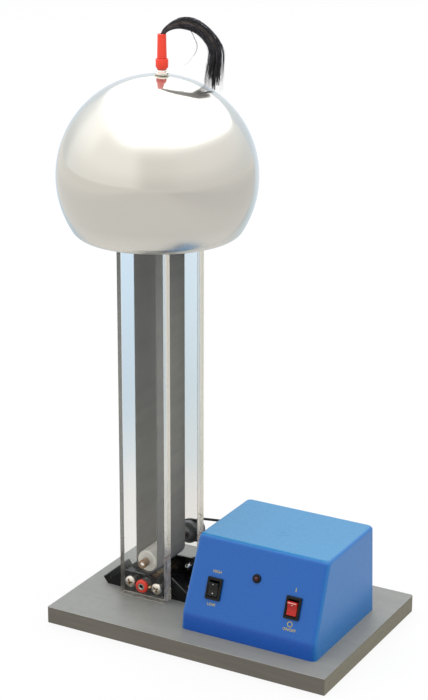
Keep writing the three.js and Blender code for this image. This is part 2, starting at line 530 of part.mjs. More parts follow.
// ---------------------------------------------------------------- indicator
{
  const m = onPanel(LED.x, LED.s);
  piece('indicator_bezel', plain(turned(closed([
    [2.35, -7], [3.1, -7], [3.1, 0.3], [4.3, 0.3], [4.3, 1.0], [3.7, 1.7], [2.9, 1.9], [2.35, 1.6],
  ]), 18).rotateX(Math.PI / 2)).applyMatrix4(m), M.blackPlastic);
  piece('indicator_lens', plain(turned([
    [0, -9], [2.05, -9], [2.05, 1.7], [1.7, 2.5], [0.9, 3.05], [0, 3.2],
  ], 20).rotateX(Math.PI / 2)).applyMatrix4(m), M.lens);
}

// ---------------------------------------------------------------- rocker switches
// Each has a bezel snapped into the panel and a key on a pin across it. The keys
// stand as in the off position, with the lower end pressed in.
const PIVOT_N = -2.0;
function rockerKey() {
  const h = ROCKER.keyL / 2;
  const prof = polygon([[-h, 3.6], [-h - 0.15, 1.2], [-5.6, -2.4], [-2.2, -4.4], [2.2, -4.4], [5.6, -2.4], [h + 0.15, 1.2], [h, 3.6],
    [h - 0.7, 3.75], [0, 2.3], [-h + 0.7, 3.75]]);
  const w = ROCKER.keyW / 2;
  return toGeometry(toSolid(extrudeX(prof, -w, w)).add(toSolid(rodX(0.9, -w - 0.85, w + 0.85, 0, PIVOT_N, 12))));
}
function rockerSwitch(bezelName, keyName, x, keyMaterial) {
  const m = onPanel(x, ROCKER_S);
  const W = ROCKER.bodyW / 2, L = ROCKER.bodyL / 2;
  const cw = ROCKER.keyW / 2 + 0.35, cl = 7.95;
  const flange = extrude(roundedRect(-ROCKER.w / 2, ROCKER.w / 2, -ROCKER.l / 2, ROCKER.l / 2, 1.0), 1.9, 3).translate(0, 0, 0.3);
  piece(bezelName, carve([flange, box(-W, W, -L, L, -17, 1)], [
    box(-cw, cw, -cl, cl, -8.5, 5), rodX(1.2, -cw - 0.85, cw + 0.85, 0, PIVOT_N, 12),
    box(-cw - 0.85, -cw + 0.1, -1.2, 1.2, -8.5, PIVOT_N), box(cw - 0.1, cw + 0.85, -1.2, 1.2, -8.5, PIVOT_N),
  ]).applyMatrix4(m), M.blackPlastic);
  const key = rockerKey();
  key.translate(0, 0, -PIVOT_N).rotateX(rad(ROCKER.tilt)).translate(0, 0, PIVOT_N);
  piece(keyName, key.applyMatrix4(m), keyMaterial);
}
rockerSwitch('speed_rocker_bezel', 'speed_rocker', ROCKER_X[0], M.blackPlastic);
rockerSwitch('power_rocker_bezel', 'power_rocker', ROCKER_X[1], M.redKey);

// ---------------------------------------------------------------- dome
const dome = new THREE.Group();
generator.add(dome);
{
  const { R, t, flat, rc, lip, z } = DOME;
  // outside of the shell, from the top down, then the rolled-in mouth
  const pc = Math.sqrt((R - rc) ** 2 - (flat - rc) ** 2);       // corner's centre, radius
  const zc = -(flat - rc);
  const aT = Math.atan2(zc, pc);                                // where the sphere meets the corner
  const outer = [];
  const nS = 12;
  for (let i = 0; i <= nS; i++) {
    const a = Math.PI / 2 + (aT - Math.PI / 2) * (i / nS);
    outer.push([i ? R * Math.cos(a) : 0, R * Math.sin(a)]);
  }
  for (let i = 1; i <= 4; i++) {
    const a = aT + (-Math.PI / 2 - aT) * (i / 4);
    outer.push([pc + rc * Math.cos(a), zc + rc * Math.sin(a)]);
  }
  const ml = 64;                                                // mouth lip's centre, radius
  for (let i = 1; i <= 3; i++) {
    const a = -Math.PI / 2 - (Math.PI * 0.86) * (i / 3);
    outer.push([ml + lip * Math.cos(a), -flat + lip + lip * Math.sin(a)]);
  }
  const inner = outer.map(([r, h], i) => {
    const [ra, ha] = outer[Math.max(0, i - 1)], [rb, hb] = outer[Math.min(outer.length - 1, i + 1)];
    const l = Math.hypot(rb - ra, hb - ha);
    if (i === 0) return [0, h - t];
    return [r + ((hb - ha) / l) * t, h - ((rb - ra) / l) * t];
  });
  const profile = [...outer, ...inner.slice().reverse()];
  piece('dome_shell', carve([alongZ(turned(profile.map(([r, h]) => [r, h + z]), 32), DOME.x, DOME.y)],
    [rodZ(4.3, DOME_TOP - 8, DOME_TOP + 4, SOCK.x, SOCK.y, 20)]), M.chrome, dome);

  const s = DOME_TOP;
  piece('dome_socket', plain(alongZ(turned(closed([
    [2.3, s - 16], [3.9, s - 16], [3.9, s + 0.3], [6.3, s + 0.3], [6.9, s + 0.8], [6.9, s + 2.5], [6.4, s + 2.9],
    [4.9, s + 2.9], [4.9, s + 4.3], [4.5, s + 4.6], [2.3, s + 4.6],
  ]), 20), SOCK.x, SOCK.y)), M.nickel, dome);
  const nut = new THREE.CylinderGeometry(6.2, 6.2, 3, 6).rotateX(Math.PI / 2).translate(SOCK.x, SOCK.y, s - 4.3);
  piece('dome_socket_nut', carve([nut], [rodZ(4.2, s - 10, s + 2, SOCK.x, SOCK.y, 20)]), M.nickel, dome);
}

// ---------------------------------------------------------------- plug with its plume of hair
const plume = new THREE.Group();
dome.add(plume);
{
  const s = DOME_TOP + 4.9;
  piece('plug_pin', plain(alongZ(turned([[0, s - 19.5], [1.4, s - 19.5], [1.95, s - 18.6], [1.95, s + 11], [0, s + 11]], 16), SOCK.x, SOCK.y)), M.nickel, plume);
  piece('plug_body', plain(alongZ(turned(closed([
    [2.3, s], [4.25, s], [5.85, s + 2.4], [5.85, s + 9.3], [5.4, s + 9.9], [2.3, s + 9.9],
  ]), 18), SOCK.x, SOCK.y)), M.red, plume);
  piece('plug_sleeve', plain(alongZ(turned([
    [0, s + 11.4], [2.3, s + 11.4], [2.5, s + 10.2], [4.55, s + 10.2], [4.05, s + 32.0], [3.7, s + 32.4], [0, s + 32.4],
  ], 18), SOCK.x, SOCK.y)), M.red, plume);

  // hair: centre line [along, height], half width, half depth, in the upright plane
  // through the plug that the plume leans into
  const line = [
    [0.9, 566.4, 2.1, 2.1], [2.2, 570.2, 2.2, 2.2], [6.2, 573.4, 2.7, 2.6], [11.6, 575.4, 3.4, 3.2], [18.6, 576.6, 4.7, 4.0], [27.4, 575.2, 5.6, 5.0],
    [35.9, 570.8, 5.6, 5.6], [43.0, 564.2, 5.6, 6.0], [47.9, 557.2, 6.2, 6.4], [50.4, 549.4, 6.9, 6.6],
    [50.8, 541.0, 7.3, 6.8], [50.0, 531.8, 8.0, 7.0], [49.6, 523.2, 7.8, 6.8], [50.0, 516.6, 5.0, 5.0],
  ];
  const ca = Math.cos(rad(29.1)), sa = Math.sin(rad(29.1));
  const n = line.length - 1;
  const g = new THREE.CylinderGeometry(1, 1, n, 12, n);
  const p = g.attributes.position;
  for (let i = 0; i < p.count; i++) {
    const k = Math.round(p.getY(i) + n / 2);
    const [a, z, hw, hd] = line[k];
    const [a0, z0] = line[Math.max(0, k - 1)], [a1, z1] = line[Math.min(n, k + 1)];
    const l = Math.hypot(a1 - a0, z1 - z0);
    const na = -(z1 - z0) / l, nz = (a1 - a0) / l;
    const u = a + (k === 0 ? -1 : na) * hw * p.getX(i);
    const v = z + (k === 0 ? 0 : nz) * hw * p.getX(i);
    const d = hd * p.getZ(i);
    p.setXYZ(i, SOCK.x + ca * u - sa * d, SOCK.y + sa * u + ca * d, v);
  }
  piece('hair_plume', plain(g), M.hair, plume);
}

// the screws that hold the housing from under the board
houseScrews.forEach(([x, y], i) => {
  const name = ['front_left', 'front_right', 'rear_left', 'rear_right'][i];
  if (i === 1 || i === 2) return;
  piece(`housing_screw_${name}`, plain(alongZ(turned(
    [[0, 0.6], [3.6, 0.6], [3.6, 2.2], [1.6, 3.3], [1.6, 30], [0, 31]], 10), x, y)), M.steel);
});

export default generator;
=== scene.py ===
import math
import random

import bmesh
import bpy
from mathutils import Matrix, Vector

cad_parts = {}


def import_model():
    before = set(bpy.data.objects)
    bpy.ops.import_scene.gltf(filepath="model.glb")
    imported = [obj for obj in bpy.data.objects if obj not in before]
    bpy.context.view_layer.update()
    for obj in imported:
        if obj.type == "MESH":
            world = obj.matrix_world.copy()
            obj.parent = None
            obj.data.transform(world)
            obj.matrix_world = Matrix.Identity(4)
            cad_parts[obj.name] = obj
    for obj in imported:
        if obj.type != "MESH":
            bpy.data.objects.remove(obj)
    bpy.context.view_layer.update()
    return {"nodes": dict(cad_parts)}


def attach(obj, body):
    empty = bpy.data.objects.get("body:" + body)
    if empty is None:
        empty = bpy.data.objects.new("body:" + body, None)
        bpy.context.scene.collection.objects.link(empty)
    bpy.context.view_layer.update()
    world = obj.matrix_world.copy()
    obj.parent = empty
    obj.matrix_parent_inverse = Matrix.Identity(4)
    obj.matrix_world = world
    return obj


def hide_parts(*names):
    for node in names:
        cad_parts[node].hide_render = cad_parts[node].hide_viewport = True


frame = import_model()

# The looks of a bench-top belt generator: a polished sphere on a clear two-plate column, a
# flat belt, a blue housing with two rocker switches and a plug with a plume of hair.
# Lengths are in millimetres here and go to metres in build().

MM = 0.001
scene = bpy.context.scene

# ------------------------------------------------------------------ sizes, as in the frame
TOP = 16.7
AX, AY = -78.7, -0.3
PX0, PX1, PYF, PYR, PTOP = -103.8, -53.6, -39.3, 38.7, 480.0
YF1, YR0 = PYF + 13, PYR - 13
LOW_Z, UP_Z = 53.4, 449.0
BELT_R, BELT_T, BELT_Y0, BELT_Y1 = 11.3, 0.8, AY - 23.4, AY + 25.0
BX0, BX1, BY0, BY1, BH = -127.0, -26.5, YF1 + 0.3, YR0 - 0.3, 22.2
BLEFT, BRIGHT = 23.5, 27.0
FLOOR_X, FLOOR_Y = (-106.1, -47.1), 2.9
SCREWS = {"front": ((-91.85, 32.7), (-61.95, 31.3)), "rear": ((-91.85, 32.7), (-60.45, 31.3))}
SOCKET_X, SOCKET_Z = -78.5, 30.65
HX0, HX1, HY0, HY1 = -14.5, 128.3, -75.5, 54.3
TX0, TX1, TY0, TY1 = -10.0, 127.1, -47.7, 51.0
HTOP, FOLD = TOP + 89, TOP + 16.8
ROCKER_X, ROCKER_S, PIVOT = (16.45, 99.55), 29.1, -2.0
LED_X, LED_S = 58.2, 47.7
MX, MZ = 65.7, 75.7
DRIVE_Y = 62.2
DX, DY, DZ, DR = AX - 2.3, AY - 1.1, 434.0, 94.8
DTOP = DZ + DR
SX, SY = -76.7, 0.4


# ------------------------------------------------------------------ mesh helpers
def place(ob):
    scene.collection.objects.link(ob)
    return ob


def settle(ob):
    """Applies an object's modifiers."""
    dg = bpy.context.evaluated_depsgraph_get()
    me = bpy.data.meshes.new_from_object(ob.evaluated_get(dg), depsgraph=dg)
    ob.modifiers.clear()
    old = ob.data
    ob.data = me
    bpy.data.meshes.remove(old)
    return ob


def build(name, verts, faces, xf=None):
    """A closed mesh object from points in millimetres."""
    me = bpy.data.meshes.new(name)
    pts = [Vector(v) for v in verts]
    if xf is not None:
        pts = [xf @ p for p in pts]
    me.from_pydata([p * MM for p in pts], [], faces)
    bm = bmesh.new()
    bm.from_mesh(me)
    bmesh.ops.remove_doubles(bm, verts=bm.verts, dist=1e-7)
    bmesh.ops.recalc_face_normals(bm, faces=bm.faces)
    bm.to_mesh(me)
    bm.free()
    return place(bpy.data.objects.new(name, me))


def cut(ob, *tools, op="DIFFERENCE"):
    for t in tools:
        m = ob.modifiers.new("cut", "BOOLEAN")
        m.operation, m.solver, m.object = op, "EXACT", t
        settle(ob)
        bpy.data.objects.remove(t)
    return ob


def soften(ob, width, segments=3, angle=30):
    m = ob.modifiers.new("soften", "BEVEL")
    m.width, m.segments, m.limit_method = width * MM, segments, "ANGLE"
    m.angle_limit = math.radians(angle)
    m.use_clamp_overlap = True
    m.miter_outer = "MITER_ARC"
    return settle(ob)


def shade(ob, angle=32, flat=False):
    me = ob.data
    me.polygons.foreach_set("use_smooth", [True] * len(me.polygons))
    me.set_sharp_from_angle(angle=math.radians(angle))
    me.update()
    if flat:
        # broad flat faces keep their own normal, and only the small round edges bend it
        m = ob.modifiers.new("normals", "WEIGHTED_NORMAL")
        m.mode, m.weight, m.keep_sharp = "FACE_AREA", 100, True
        settle(ob)
    return ob


def paint(ob, mats, pick=None):
    """mats[0] everywhere, or mats[pick(centre in mm, normal)] face by face."""
    ob.data.materials.clear()
    for m in mats if isinstance(mats, (list, tuple)) else [mats]:
        ob.data.materials.append(m)
    if pick is not None:
        for p in ob.data.polygons:
            p.material_index = pick(p.center / MM, p.normal)
    return ob


def finish_piece(ob, body, nodes=(), angle=32, flat=False):
    shade(ob, angle, flat)
    if nodes:
        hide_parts(*([nodes] if isinstance(nodes, str) else nodes))
    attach(ob, body)
    return ob


def lathe(name, profile, n=72, xf=None, ring=False):
    """profile: (radius, height) about local Z. A ring profile closes on itself."""
    verts, faces, rows = [], [], []
    for r, h in profile:
        if r < 1e-6:
            rows.append([len(verts)] * n)
            verts.append((0, 0, h))
        else:
            rows.append(list(range(len(verts), len(verts) + n)))
            verts += [(r * math.cos(2 * math.pi * i / n), r * math.sin(2 * math.pi * i / n), h) for i in range(n)]
    pairs = list(zip(rows, rows[1:])) + ([(rows[-1], rows[0])] if ring else [])
    for a, b in pairs:
        for i in range(n):
            j = (i + 1) % n
            f = []
            for v in (a[i], a[j], b[j], b[i]):
                if v not in f:
                    f.append(v)
            if len(f) > 2:
                faces.append(f)
    return build(name, verts, faces, xf)


def prism(name, outline, z0, z1, xf=None):
    n = len(outline)
    verts = [(x, y, z0) for x, y in outline] + [(x, y, z1) for x, y in outline]
    faces = [list(range(n))[::-1], list(range(n, 2 * n))]
    faces += [[i, (i + 1) % n, n + (i + 1) % n, n + i] for i in range(n)]
    return build(name, verts, faces, xf)


def block(name, x0, x1, y0, y1, z0, z1, xf=None):
    return prism(name, [(x0, y0), (x1, y0), (x1, y1), (x0, y1)], z0, z1, xf)


def arc(cx, cy, r, a0, a1, n):
    return [(cx + r * math.cos(math.radians(a0 + (a1 - a0) * i / n)),
             cy + r * math.sin(math.radians(a0 + (a1 - a0) * i / n))) for i in range(n + 1)]


def rounded(x0, x1, y0, y1, r, n=8):
    return (arc(x1 - r, y0 + r, r, -90, 0, n) + arc(x1 - r, y1 - r, r, 0, 90, n)
            + arc(x0 + r, y1 - r, r, 90, 180, n) + arc(x0 + r, y0 + r, r, 180, 270, n))


def tube(name, path, r, n=12, closed=False, radii=None):
    """A round tube along points in millimetres."""
    pts = [Vector(p) for p in path]
    N = len(pts)
    verts, faces = [], []
    side = None
    for i, p in enumerate(pts):
        a = pts[(i - 1) % N] if closed or i else p
        b = pts[(i + 1) % N] if closed or i < N - 1 else p
        t = (b - a).normalized()
        if side is None:
            side = t.orthogonal().normalized()
        side = (side - t * side.dot(t)).normalized()
        up = t.cross(side)
        rr = radii[i] if radii else r
        verts += [p + (side * math.cos(2 * math.pi * k / n) + up * math.sin(2 * math.pi * k / n)) * rr for k in range(n)]
    if closed:
        # the frame may come back turned, so the last ring meets the first at the nearest spoke
        last, first = verts[-n:], verts[:n]
        shift = min(range(n), key=lambda s: sum((last[k] - first[(k + s) % n]).length for k in range(n)))
    for i in range(N if closed else N - 1):
        j = (i + 1) % N
        s = shift if closed and j == 0 else 0
        for k in range(n):
            faces.append([i * n + k, i * n + (k + 1) % n, j * n + (k + 1 + s) % n, j * n + (k + s) % n])
    if not closed:
        faces += [list(range(n))[::-1], list(range((N - 1) * n, N * n))]
    return build(name, verts, faces)


def axis_y(x, z, y=0.0, flip=False):
    """Local Z runs along +Y (or -Y), with its origin at (x, y, z)."""
    m = Matrix(((1, 0, 0, x), (0, 0, 1, y), (0, -1, 0, z), (0, 0, 0, 1)))
    if flip:
        m = Matrix(((1, 0, 0, x), (0, 0, -1, y), (0, 1, 0, z), (0, 0, 0, 1)))
    return m


def axis_z(x, y, z=0.0):
    return Matrix.Translation((x, y, z))


SLOPE_UP = Vector((0, TY0 - HY0, HTOP - FOLD)).normalized()
SLOPE_OUT = Vector((0, -SLOPE_UP.z, SLOPE_UP.y))
BACK_UP = Vector((0, TY1 - HY1, 89.0)).normalized()
BACK_OUT = Vector((0, BACK_UP.z, -BACK_UP.y))


def basis(x, y, z, origin):
    m = Matrix((x, y, z)).transposed().to_4x4()
    m.translation = origin
    return m


def on_panel(x, s):
    return basis(Vector((1, 0, 0)), SLOPE_UP, SLOPE_OUT, Vector((x, HY0, FOLD)) + SLOPE_UP * s)


def on_back(x, s):
    return basis(Vector((-1, 0, 0)), BACK_UP, BACK_OUT, Vector((x, HY1, TOP)) + BACK_UP * s)


# ------------------------------------------------------------------ materials
class Paint:
    """A Principled material with its nodes."""

    def __init__(self, name, **values):
        self.mat = bpy.data.materials.new(name)
        self.mat.use_nodes = True
        self.nt = self.mat.node_tree
        self.nt.nodes.clear()
        out = self.nt.nodes.new("ShaderNodeOutputMaterial")
        self.bsdf = self.nt.nodes.new("ShaderNodeBsdfPrincipled")
        self.nt.links.new(self.bsdf.outputs[0], out.inputs[0])
        self.coord = self.nt.nodes.new("ShaderNodeTexCoord").outputs["Object"]
        self.normal = None
        for k, v in values.items():
            k = k.replace("_", " ").title().replace("Ior", "IOR")
            if k == "Base Color" or k.endswith("Color") or k.endswith("Tint") and not isinstance(v, (int, float)):
                v = (*v, 1.0)
            self.bsdf.inputs[k].default_value = v

    def new(self, kind, **values):
        n = self.nt.nodes.new(kind)
        for k, v in values.items():
            setattr(n, k, v)
        return n

    def join(self, a, b):
        self.nt.links.new(a, b)

    def scaled(self, x, y, z, turn=(0, 0, 0)):
        m = self.new("ShaderNodeMapping")
        m.inputs["Scale"].default_value = (x, y, z)
        m.inputs["Rotation"].default_value = [math.radians(a) for a in turn]
        self.join(self.coord, m.inputs["Vector"])
        return m.outputs[0]

    def noise(self, scale, detail=3.0, rough=0.5, vec=None, distort=0.0):
        n = self.new("ShaderNodeTexNoise")
        n.inputs["Scale"].default_value = scale
        n.inputs["Detail"].default_value = detail
        n.inputs["Roughness"].default_value = rough
        n.inputs["Distortion"].default_value = distort
        self.join(vec or self.coord, n.inputs["Vector"])
        return n.outputs["Fac"]

    def voronoi(self, scale, vec=None, feature="F1"):
        n = self.new("ShaderNodeTexVoronoi", feature=feature)
        n.inputs["Scale"].default_value = scale
        self.join(vec or self.coord, n.inputs["Vector"])
        return n.outputs["Distance"]

    def wave(self, scale, vec=None, distort=0.0, direction="X", rings=False, detail=2.0):
        n = self.new("ShaderNodeTexWave", wave_type="RINGS" if rings else "BANDS")
        if rings:
            n.rings_direction = direction
        else:
            n.bands_direction = direction
        n.inputs["Scale"].default_value = scale
        n.inputs["Distortion"].default_value = distort
        n.inputs["Detail"].default_value = detail
        self.join(vec or self.coord, n.inputs["Vector"])
        return n.outputs["Fac"]

    def ramp(self, fac, stops):
        n = self.new("ShaderNodeValToRGB")
        e = n.color_ramp.elements
        while len(e) > 1:
            e.remove(e[-1])
        for i, (pos, col) in enumerate(stops):
            s = e[0] if i == 0 else e.new(pos)
            s.position = pos
            s.color = (*col, 1.0) if hasattr(col, "__len__") else (col, col, col, 1.0)
        self.join(fac, n.inputs["Fac"])
        return n.outputs["Color"]

    def span(self, fac, lo, hi, a=0.3, b=0.7):
        n = self.new("ShaderNodeMapRange")
        n.inputs["From Min"].default_value = a
        n.inputs["From Max"].default_value = b
        n.inputs["To Min"].default_value = lo
        n.inputs["To Max"].default_value = hi
        self.join(fac, n.inputs["Value"])
        return n.outputs["Result"]

    def mix(self, fac, a, b, blend="MIX"):
        n = self.new("ShaderNodeMix", data_type="RGBA", blend_type=blend)
        for sock, v in ((n.inputs[0], fac), (n.inputs[6], a), (n.inputs[7], b)):
            if isinstance(v, bpy.types.NodeSocket):
                self.join(v, sock)
            elif hasattr(v, "__len__"):
                sock.default_value = (*v, 1.0)
            else:
                sock.default_value = v
        return n.outputs[2]

    def math(self, op, a, b=0.0):
        n = self.new("ShaderNodeMath", operation=op)
        for sock, v in ((n.inputs[0], a), (n.inputs[1], b)):
            if isinstance(v, bpy.types.NodeSocket):
                self.join(v, sock)
            else:
                sock.default_value = v
        return n.outputs[0]

    def color(self, out):
        self.join(out, self.bsdf.inputs["Base Color"])
        return self

    def roughness(self, out):
        self.join(out, self.bsdf.inputs["Roughness"])
        return self

    def bump(self, height, strength, distance):
        n = self.new("ShaderNodeBump")
        n.inputs["Strength"].default_value = strength
        n.inputs["Distance"].default_value = distance
        self.join(height, n.inputs["Height"])
        if self.normal is not None:
            self.join(self.normal, n.inputs["Normal"])
        self.normal = n.outputs[0]
        self.join(self.normal, self.bsdf.inputs["Normal"])
        return self


def tint(c, k):
    return tuple(min(1.0, v * k) for v in c)


def varied(name, color, rough, vary=0.08, scale=60, rvary=0.06, rscale=120, bump=None, **values):
    """A plain finish whose colour, gloss and surface all vary a little."""
    p = Paint(name, base_color=color, roughness=rough, **values)
    f = p.noise(scale, 4.0, 0.6)
    p.color(p.ramp(f, [(0.3, tint(color, 1 - vary)), (0.7, tint(color, 1 + vary))]))
    g = p.noise(rscale, 3.0, 0.6)
    p.roughness(p.span(g, max(0.0, rough - rvary), rough + rvary))
    if bump:
        strength, bscale, distance = bump
        p.bump(p.noise(bscale, 2.0, 0.5), strength, distance)
    return p


def make_materials():
    M = {}

    # laminate: pale grey with a very fine mottle and faint long streaks
    p = Paint("laminate_top", base_color=(0.20, 0.205, 0.195), roughness=0.42, specular_ior_level=0.3)
    streak = p.noise(26, 5.0, 0.65, p.scaled(0.35, 3.0, 1.0))
    grain = p.noise(900, 3.0, 0.6)
    c = p.ramp(streak, [(0.30, (0.181, 0.184, 0.175)), (0.70, (0.207, 0.210, 0.198))])
    c = p.mix(p.span(grain, 0.0, 0.35), c, (0.158, 0.162, 0.153))
    p.color(c)
    p.roughness(p.span(p.noise(140, 3.0), 0.36, 0.50))
    p.bump(grain, 0.10, 0.00008)
    M["laminate_top"] = p.mat

    # edging strip: darker, warmer, with saw and scraper marks along it, its darkness partly painted shade;
    # the strip on the end is painted paler as light from that side, and the front top corner as a highlight
    for name, lo, hi, speck in (("laminate_edge_with_painted_shade", (0.096, 0.088, 0.074), (0.117, 0.108, 0.091), (0.092, 0.085, 0.073)),
                                ("laminate_end_painted_light", (0.125, 0.116, 0.083), (0.153, 0.143, 0.103), (0.118, 0.109, 0.081)),
                                ("laminate_rim_painted_highlight", (0.36, 0.35, 0.32), (0.44, 0.43, 0.40), (0.30, 0.29, 0.27))):
        p = Paint(name, base_color=lo, roughness=0.5, specular_ior_level=0.3)
        along = p.noise(70, 4.0, 0.6, p.scaled(0.25, 0.25, 4.0))
        p.color(p.mix(p.span(p.noise(1200, 2.0), 0.0, 0.3), p.ramp(along, [(0.3, lo), (0.7, hi)]), speck))
        p.roughness(p.span(p.noise(260, 3.0), 0.42, 0.58))
        p.bump(p.noise(500, 3.0), 0.16, 0.0001)
        M[name] = p.mat

    # moulded blue plastic: fine spark texture and a slow drift of colour
    p = Paint("blue_abs_painted_facing_light", base_color=(0.004, 0.100, 0.345), roughness=0.36, specular_ior_level=0.38, sheen_weight=0.03, sheen_roughness=0.5)
    painted_facing = p.new("ShaderNodeSeparateXYZ")
    p.join(p.new("ShaderNodeTexCoord").outputs["Normal"], painted_facing.inputs[0])
    # painted light and shade by which way a face points: the front and skirt a deeper blue, the top and sides paler
    c = p.ramp(p.span(painted_facing.outputs["Y"], 0.0, 1.0, -1.0, -0.6), [(0.0, (0.003, 0.064, 0.340)), (0.17, (0.001, 0.078, 0.330)), (0.6, (0.001, 0.090, 0.350)), (1.0, (0.008, 0.128, 0.383))])
    c = p.mix(p.span(painted_facing.outputs["Z"], 0.0, 1.0, 0.78, 0.98), c, (0.006, 0.158, 0.335))
    c = p.mix(1.0, c, p.ramp(p.noise(9, 3.0, 0.5), [(0.3, (0.97, 0.97, 0.97)), (0.7, (1.03, 1.03, 1.03))]), "MULTIPLY")
    c = p.mix(p.span(p.noise(600, 2.0), 0.0, 0.10), c, (0.012, 0.14, 0.40))
    p.color(c)
    p.roughness(p.span(p.noise(1500, 2.0), 0.25, 0.35))
    p.bump(p.noise(2600, 2.0, 0.6), 0.10, 0.00004)
    p.bump(p.noise(14, 2.0), 0.06, 0.0015)
    M["blue_abs_painted_facing_light"] = p.mat

    # clear cast sheet: polished faces, sawn and flamed edges
    p = Paint("acrylic_face", base_color=(0.90, 0.91, 0.905), roughness=0.0, transmission_weight=1.0, ior=1.49)
    p.color(p.ramp(p.noise(4, 2.0, 0.5), [(0.3, (0.865, 0.882, 0.878)), (0.7, (0.895, 0.905, 0.900))]))
    p.roughness(p.span(p.noise(70, 4.0, 0.7), 0.0, 0.012))
    M["acrylic_face"] = p.mat

    def clear_edge(p, level):
        p.roughness(p.span(p.noise(90, 3.0, 0.6, p.scaled(4, 4, 0.3)), 0.03, 0.12))
        p.bump(p.noise(160, 3.0, 0.6, p.scaled(5, 5, 0.25)), 0.10, 0.0003)
        worn = p.new("ShaderNodeBsdfPrincipled")
        worn.inputs["Roughness"].default_value = 0.35
        spots = p.noise(70, 4.0, 0.65, p.scaled(2.2, 2.2, 1.0))
        p.join(p.ramp(spots, [(0.36, (0.15, 0.12, 0.10)), (0.45, (0.56, 0.52, 0.47)), (0.60, (0.80, 0.76, 0.70))]), worn.inputs["Base Color"])
        both = p.new("ShaderNodeMixShader")
        p.join(p.math("MULTIPLY", p.span(level.outputs["Z"], 0.72, 0.0, 0.050, 0.078), p.span(p.noise(55, 3.0, 0.6), 0.55, 1.0, 0.35, 0.6)), both.inputs[0])
        p.join(p.bsdf.outputs[0], both.inputs[1])
        p.join(worn.outputs[0], both.inputs[2])
        p.join(both.outputs[0], [n for n in p.nt.nodes if n.type == "OUTPUT_MATERIAL"][0].inputs[0])

    def edge(name, middle):
        p = Paint(name, base_color=(0.70, 0.675, 0.585), roughness=0.06, transmission_weight=1.0, ior=1.49)
        level = p.new("ShaderNodeSeparateXYZ")
        p.join(p.coord, level.inputs[0])
        # clear towards the front of the thickness, amber towards the back
        p.color(p.mix(p.span(level.outputs["Y"], 0.0, 1.0, middle - 0.0008, middle + 0.0012), (0.84, 0.86, 0.86), (0.655, 0.63, 0.545)))
        return p, level

    for name, middle in (("acrylic_edge", (PYF + YF1) / 2 * MM), ("acrylic_edge_rear", (YR0 + PYR) / 2 * MM)):
        p, level = edge(name, middle)
        clear_edge(p, level)
        M[name] = p.mat
    p = Paint("acrylic_rim", base_color=(0.84, 0.79, 0.71), roughness=0.4, ior=1.49)
    p.roughness(p.span(p.noise(300, 3.0, 0.6), 0.32, 0.5))
    M["acrylic_rim"] = p.mat

    # polished spun steel: soft hammer waves and a haze of fine scratches
    p = Paint("mirror_dome", base_color=(0.585, 0.570, 0.528), roughness=0.07, metallic=1.0)
    fine = p.noise(60, 5.0, 0.7, p.scaled(1, 1, 7))
    level = p.new("ShaderNodeSeparateXYZ")
    p.join(p.coord, level.inputs[0])
    # the rolled lip is buffed paler than the rest
    c = p.ramp(p.noise(7, 3.0, 0.5), [(0.3, (0.572, 0.557, 0.514)), (0.7, (0.600, 0.586, 0.545))])
    p.color(p.mix(p.span(level.outputs["Z"], 1.0, 0.0, 0.384, 0.400), c, (0.665, 0.650, 0.605)))
    p.roughness(p.math("ADD", p.span(fine, 0.045, 0.105), p.span(level.outputs["Z"], 0.28, 0.0, 0.376, 0.403)))
    p.bump(p.noise(11, 2.0, 0.5), 0.10, 0.0012)
    p.bump(p.noise(240, 3.0, 0.6, p.scaled(1, 1, 5)), 0.03, 0.00006)
    # buffing haze: a quarter of the light leaves in a broad lobe
    haze = p.new("ShaderNodeBsdfPrincipled")
    haze.inputs["Base Color"].default_value = (0.60, 0.585, 0.545, 1.0)
    haze.inputs["Metallic"].default_value = 1.0
    haze.inputs["Roughness"].default_value = 0.42
    both = p.new("ShaderNodeMixShader")
    both.inputs[0].default_value = 0.24
    p.join(p.bsdf.outputs[0], both.inputs[1])
    p.join(haze.outputs[0], both.inputs[2])
    p.join(both.outputs[0], [n for n in p.nt.nodes if n.type == "OUTPUT_MATERIAL"][0].inputs[0])
    M["mirror_dome"] = p.mat

    p = varied("nickel", (0.60, 0.57, 0.52), 0.24, 0.05, 300, 0.08, 500, (0.06, 900, 0.00006), metallic=1.0)
    M["nickel"] = p.mat
    p = varied("nickel_bright", (0.80, 0.77, 0.71), 0.14, 0.04, 300, 0.05, 400, (0.04, 700, 0.00005), metallic=1.0)
    M["nickel_bright"] = p.mat
    p = varied("nickel_heads", (0.56, 0.53, 0.47), 0.30, 0.06, 300, 0.08, 400, (0.06, 700, 0.00006), metallic=1.0)
    M["nickel_heads"] = p.mat
    p = varied("nickel_dull", (0.30, 0.30, 0.31), 0.26, 0.08, 300, 0.08, 400, (0.06, 700, 0.00006), metallic=1.0)
    M["nickel_dull"] = p.mat
    p = varied("yellow_zinc", (0.42, 0.26, 0.08), 0.34, 0.16, 400, 0.08, 500, (0.10, 900, 0.00008), metallic=1.0)
    M["yellow_zinc"] = p.mat
    p = varied("steel", (0.50, 0.50, 0.50), 0.3, 0.08, 200, 0.08, 400, None, metallic=1.0)
    p.bump(p.noise(300, 3.0, 0.6, p.scaled(6, 0.4, 6)), 0.08, 0.00006)
    M["steel"] = p.mat
    p = varied("brass", (0.60, 0.42, 0.19), 0.3, 0.12, 160, 0.08, 300, (0.06, 700, 0.00006), metallic=1.0)
    M["brass"] = p.mat
    # plain-bearing bronze, drawn and a little brown
    p = varied("bronze", (0.36, 0.22, 0.12), 0.4, 0.14, 260, 0.08, 500, (0.10, 900, 0.00008), metallic=1.0)
    M["bronze"] = p.mat

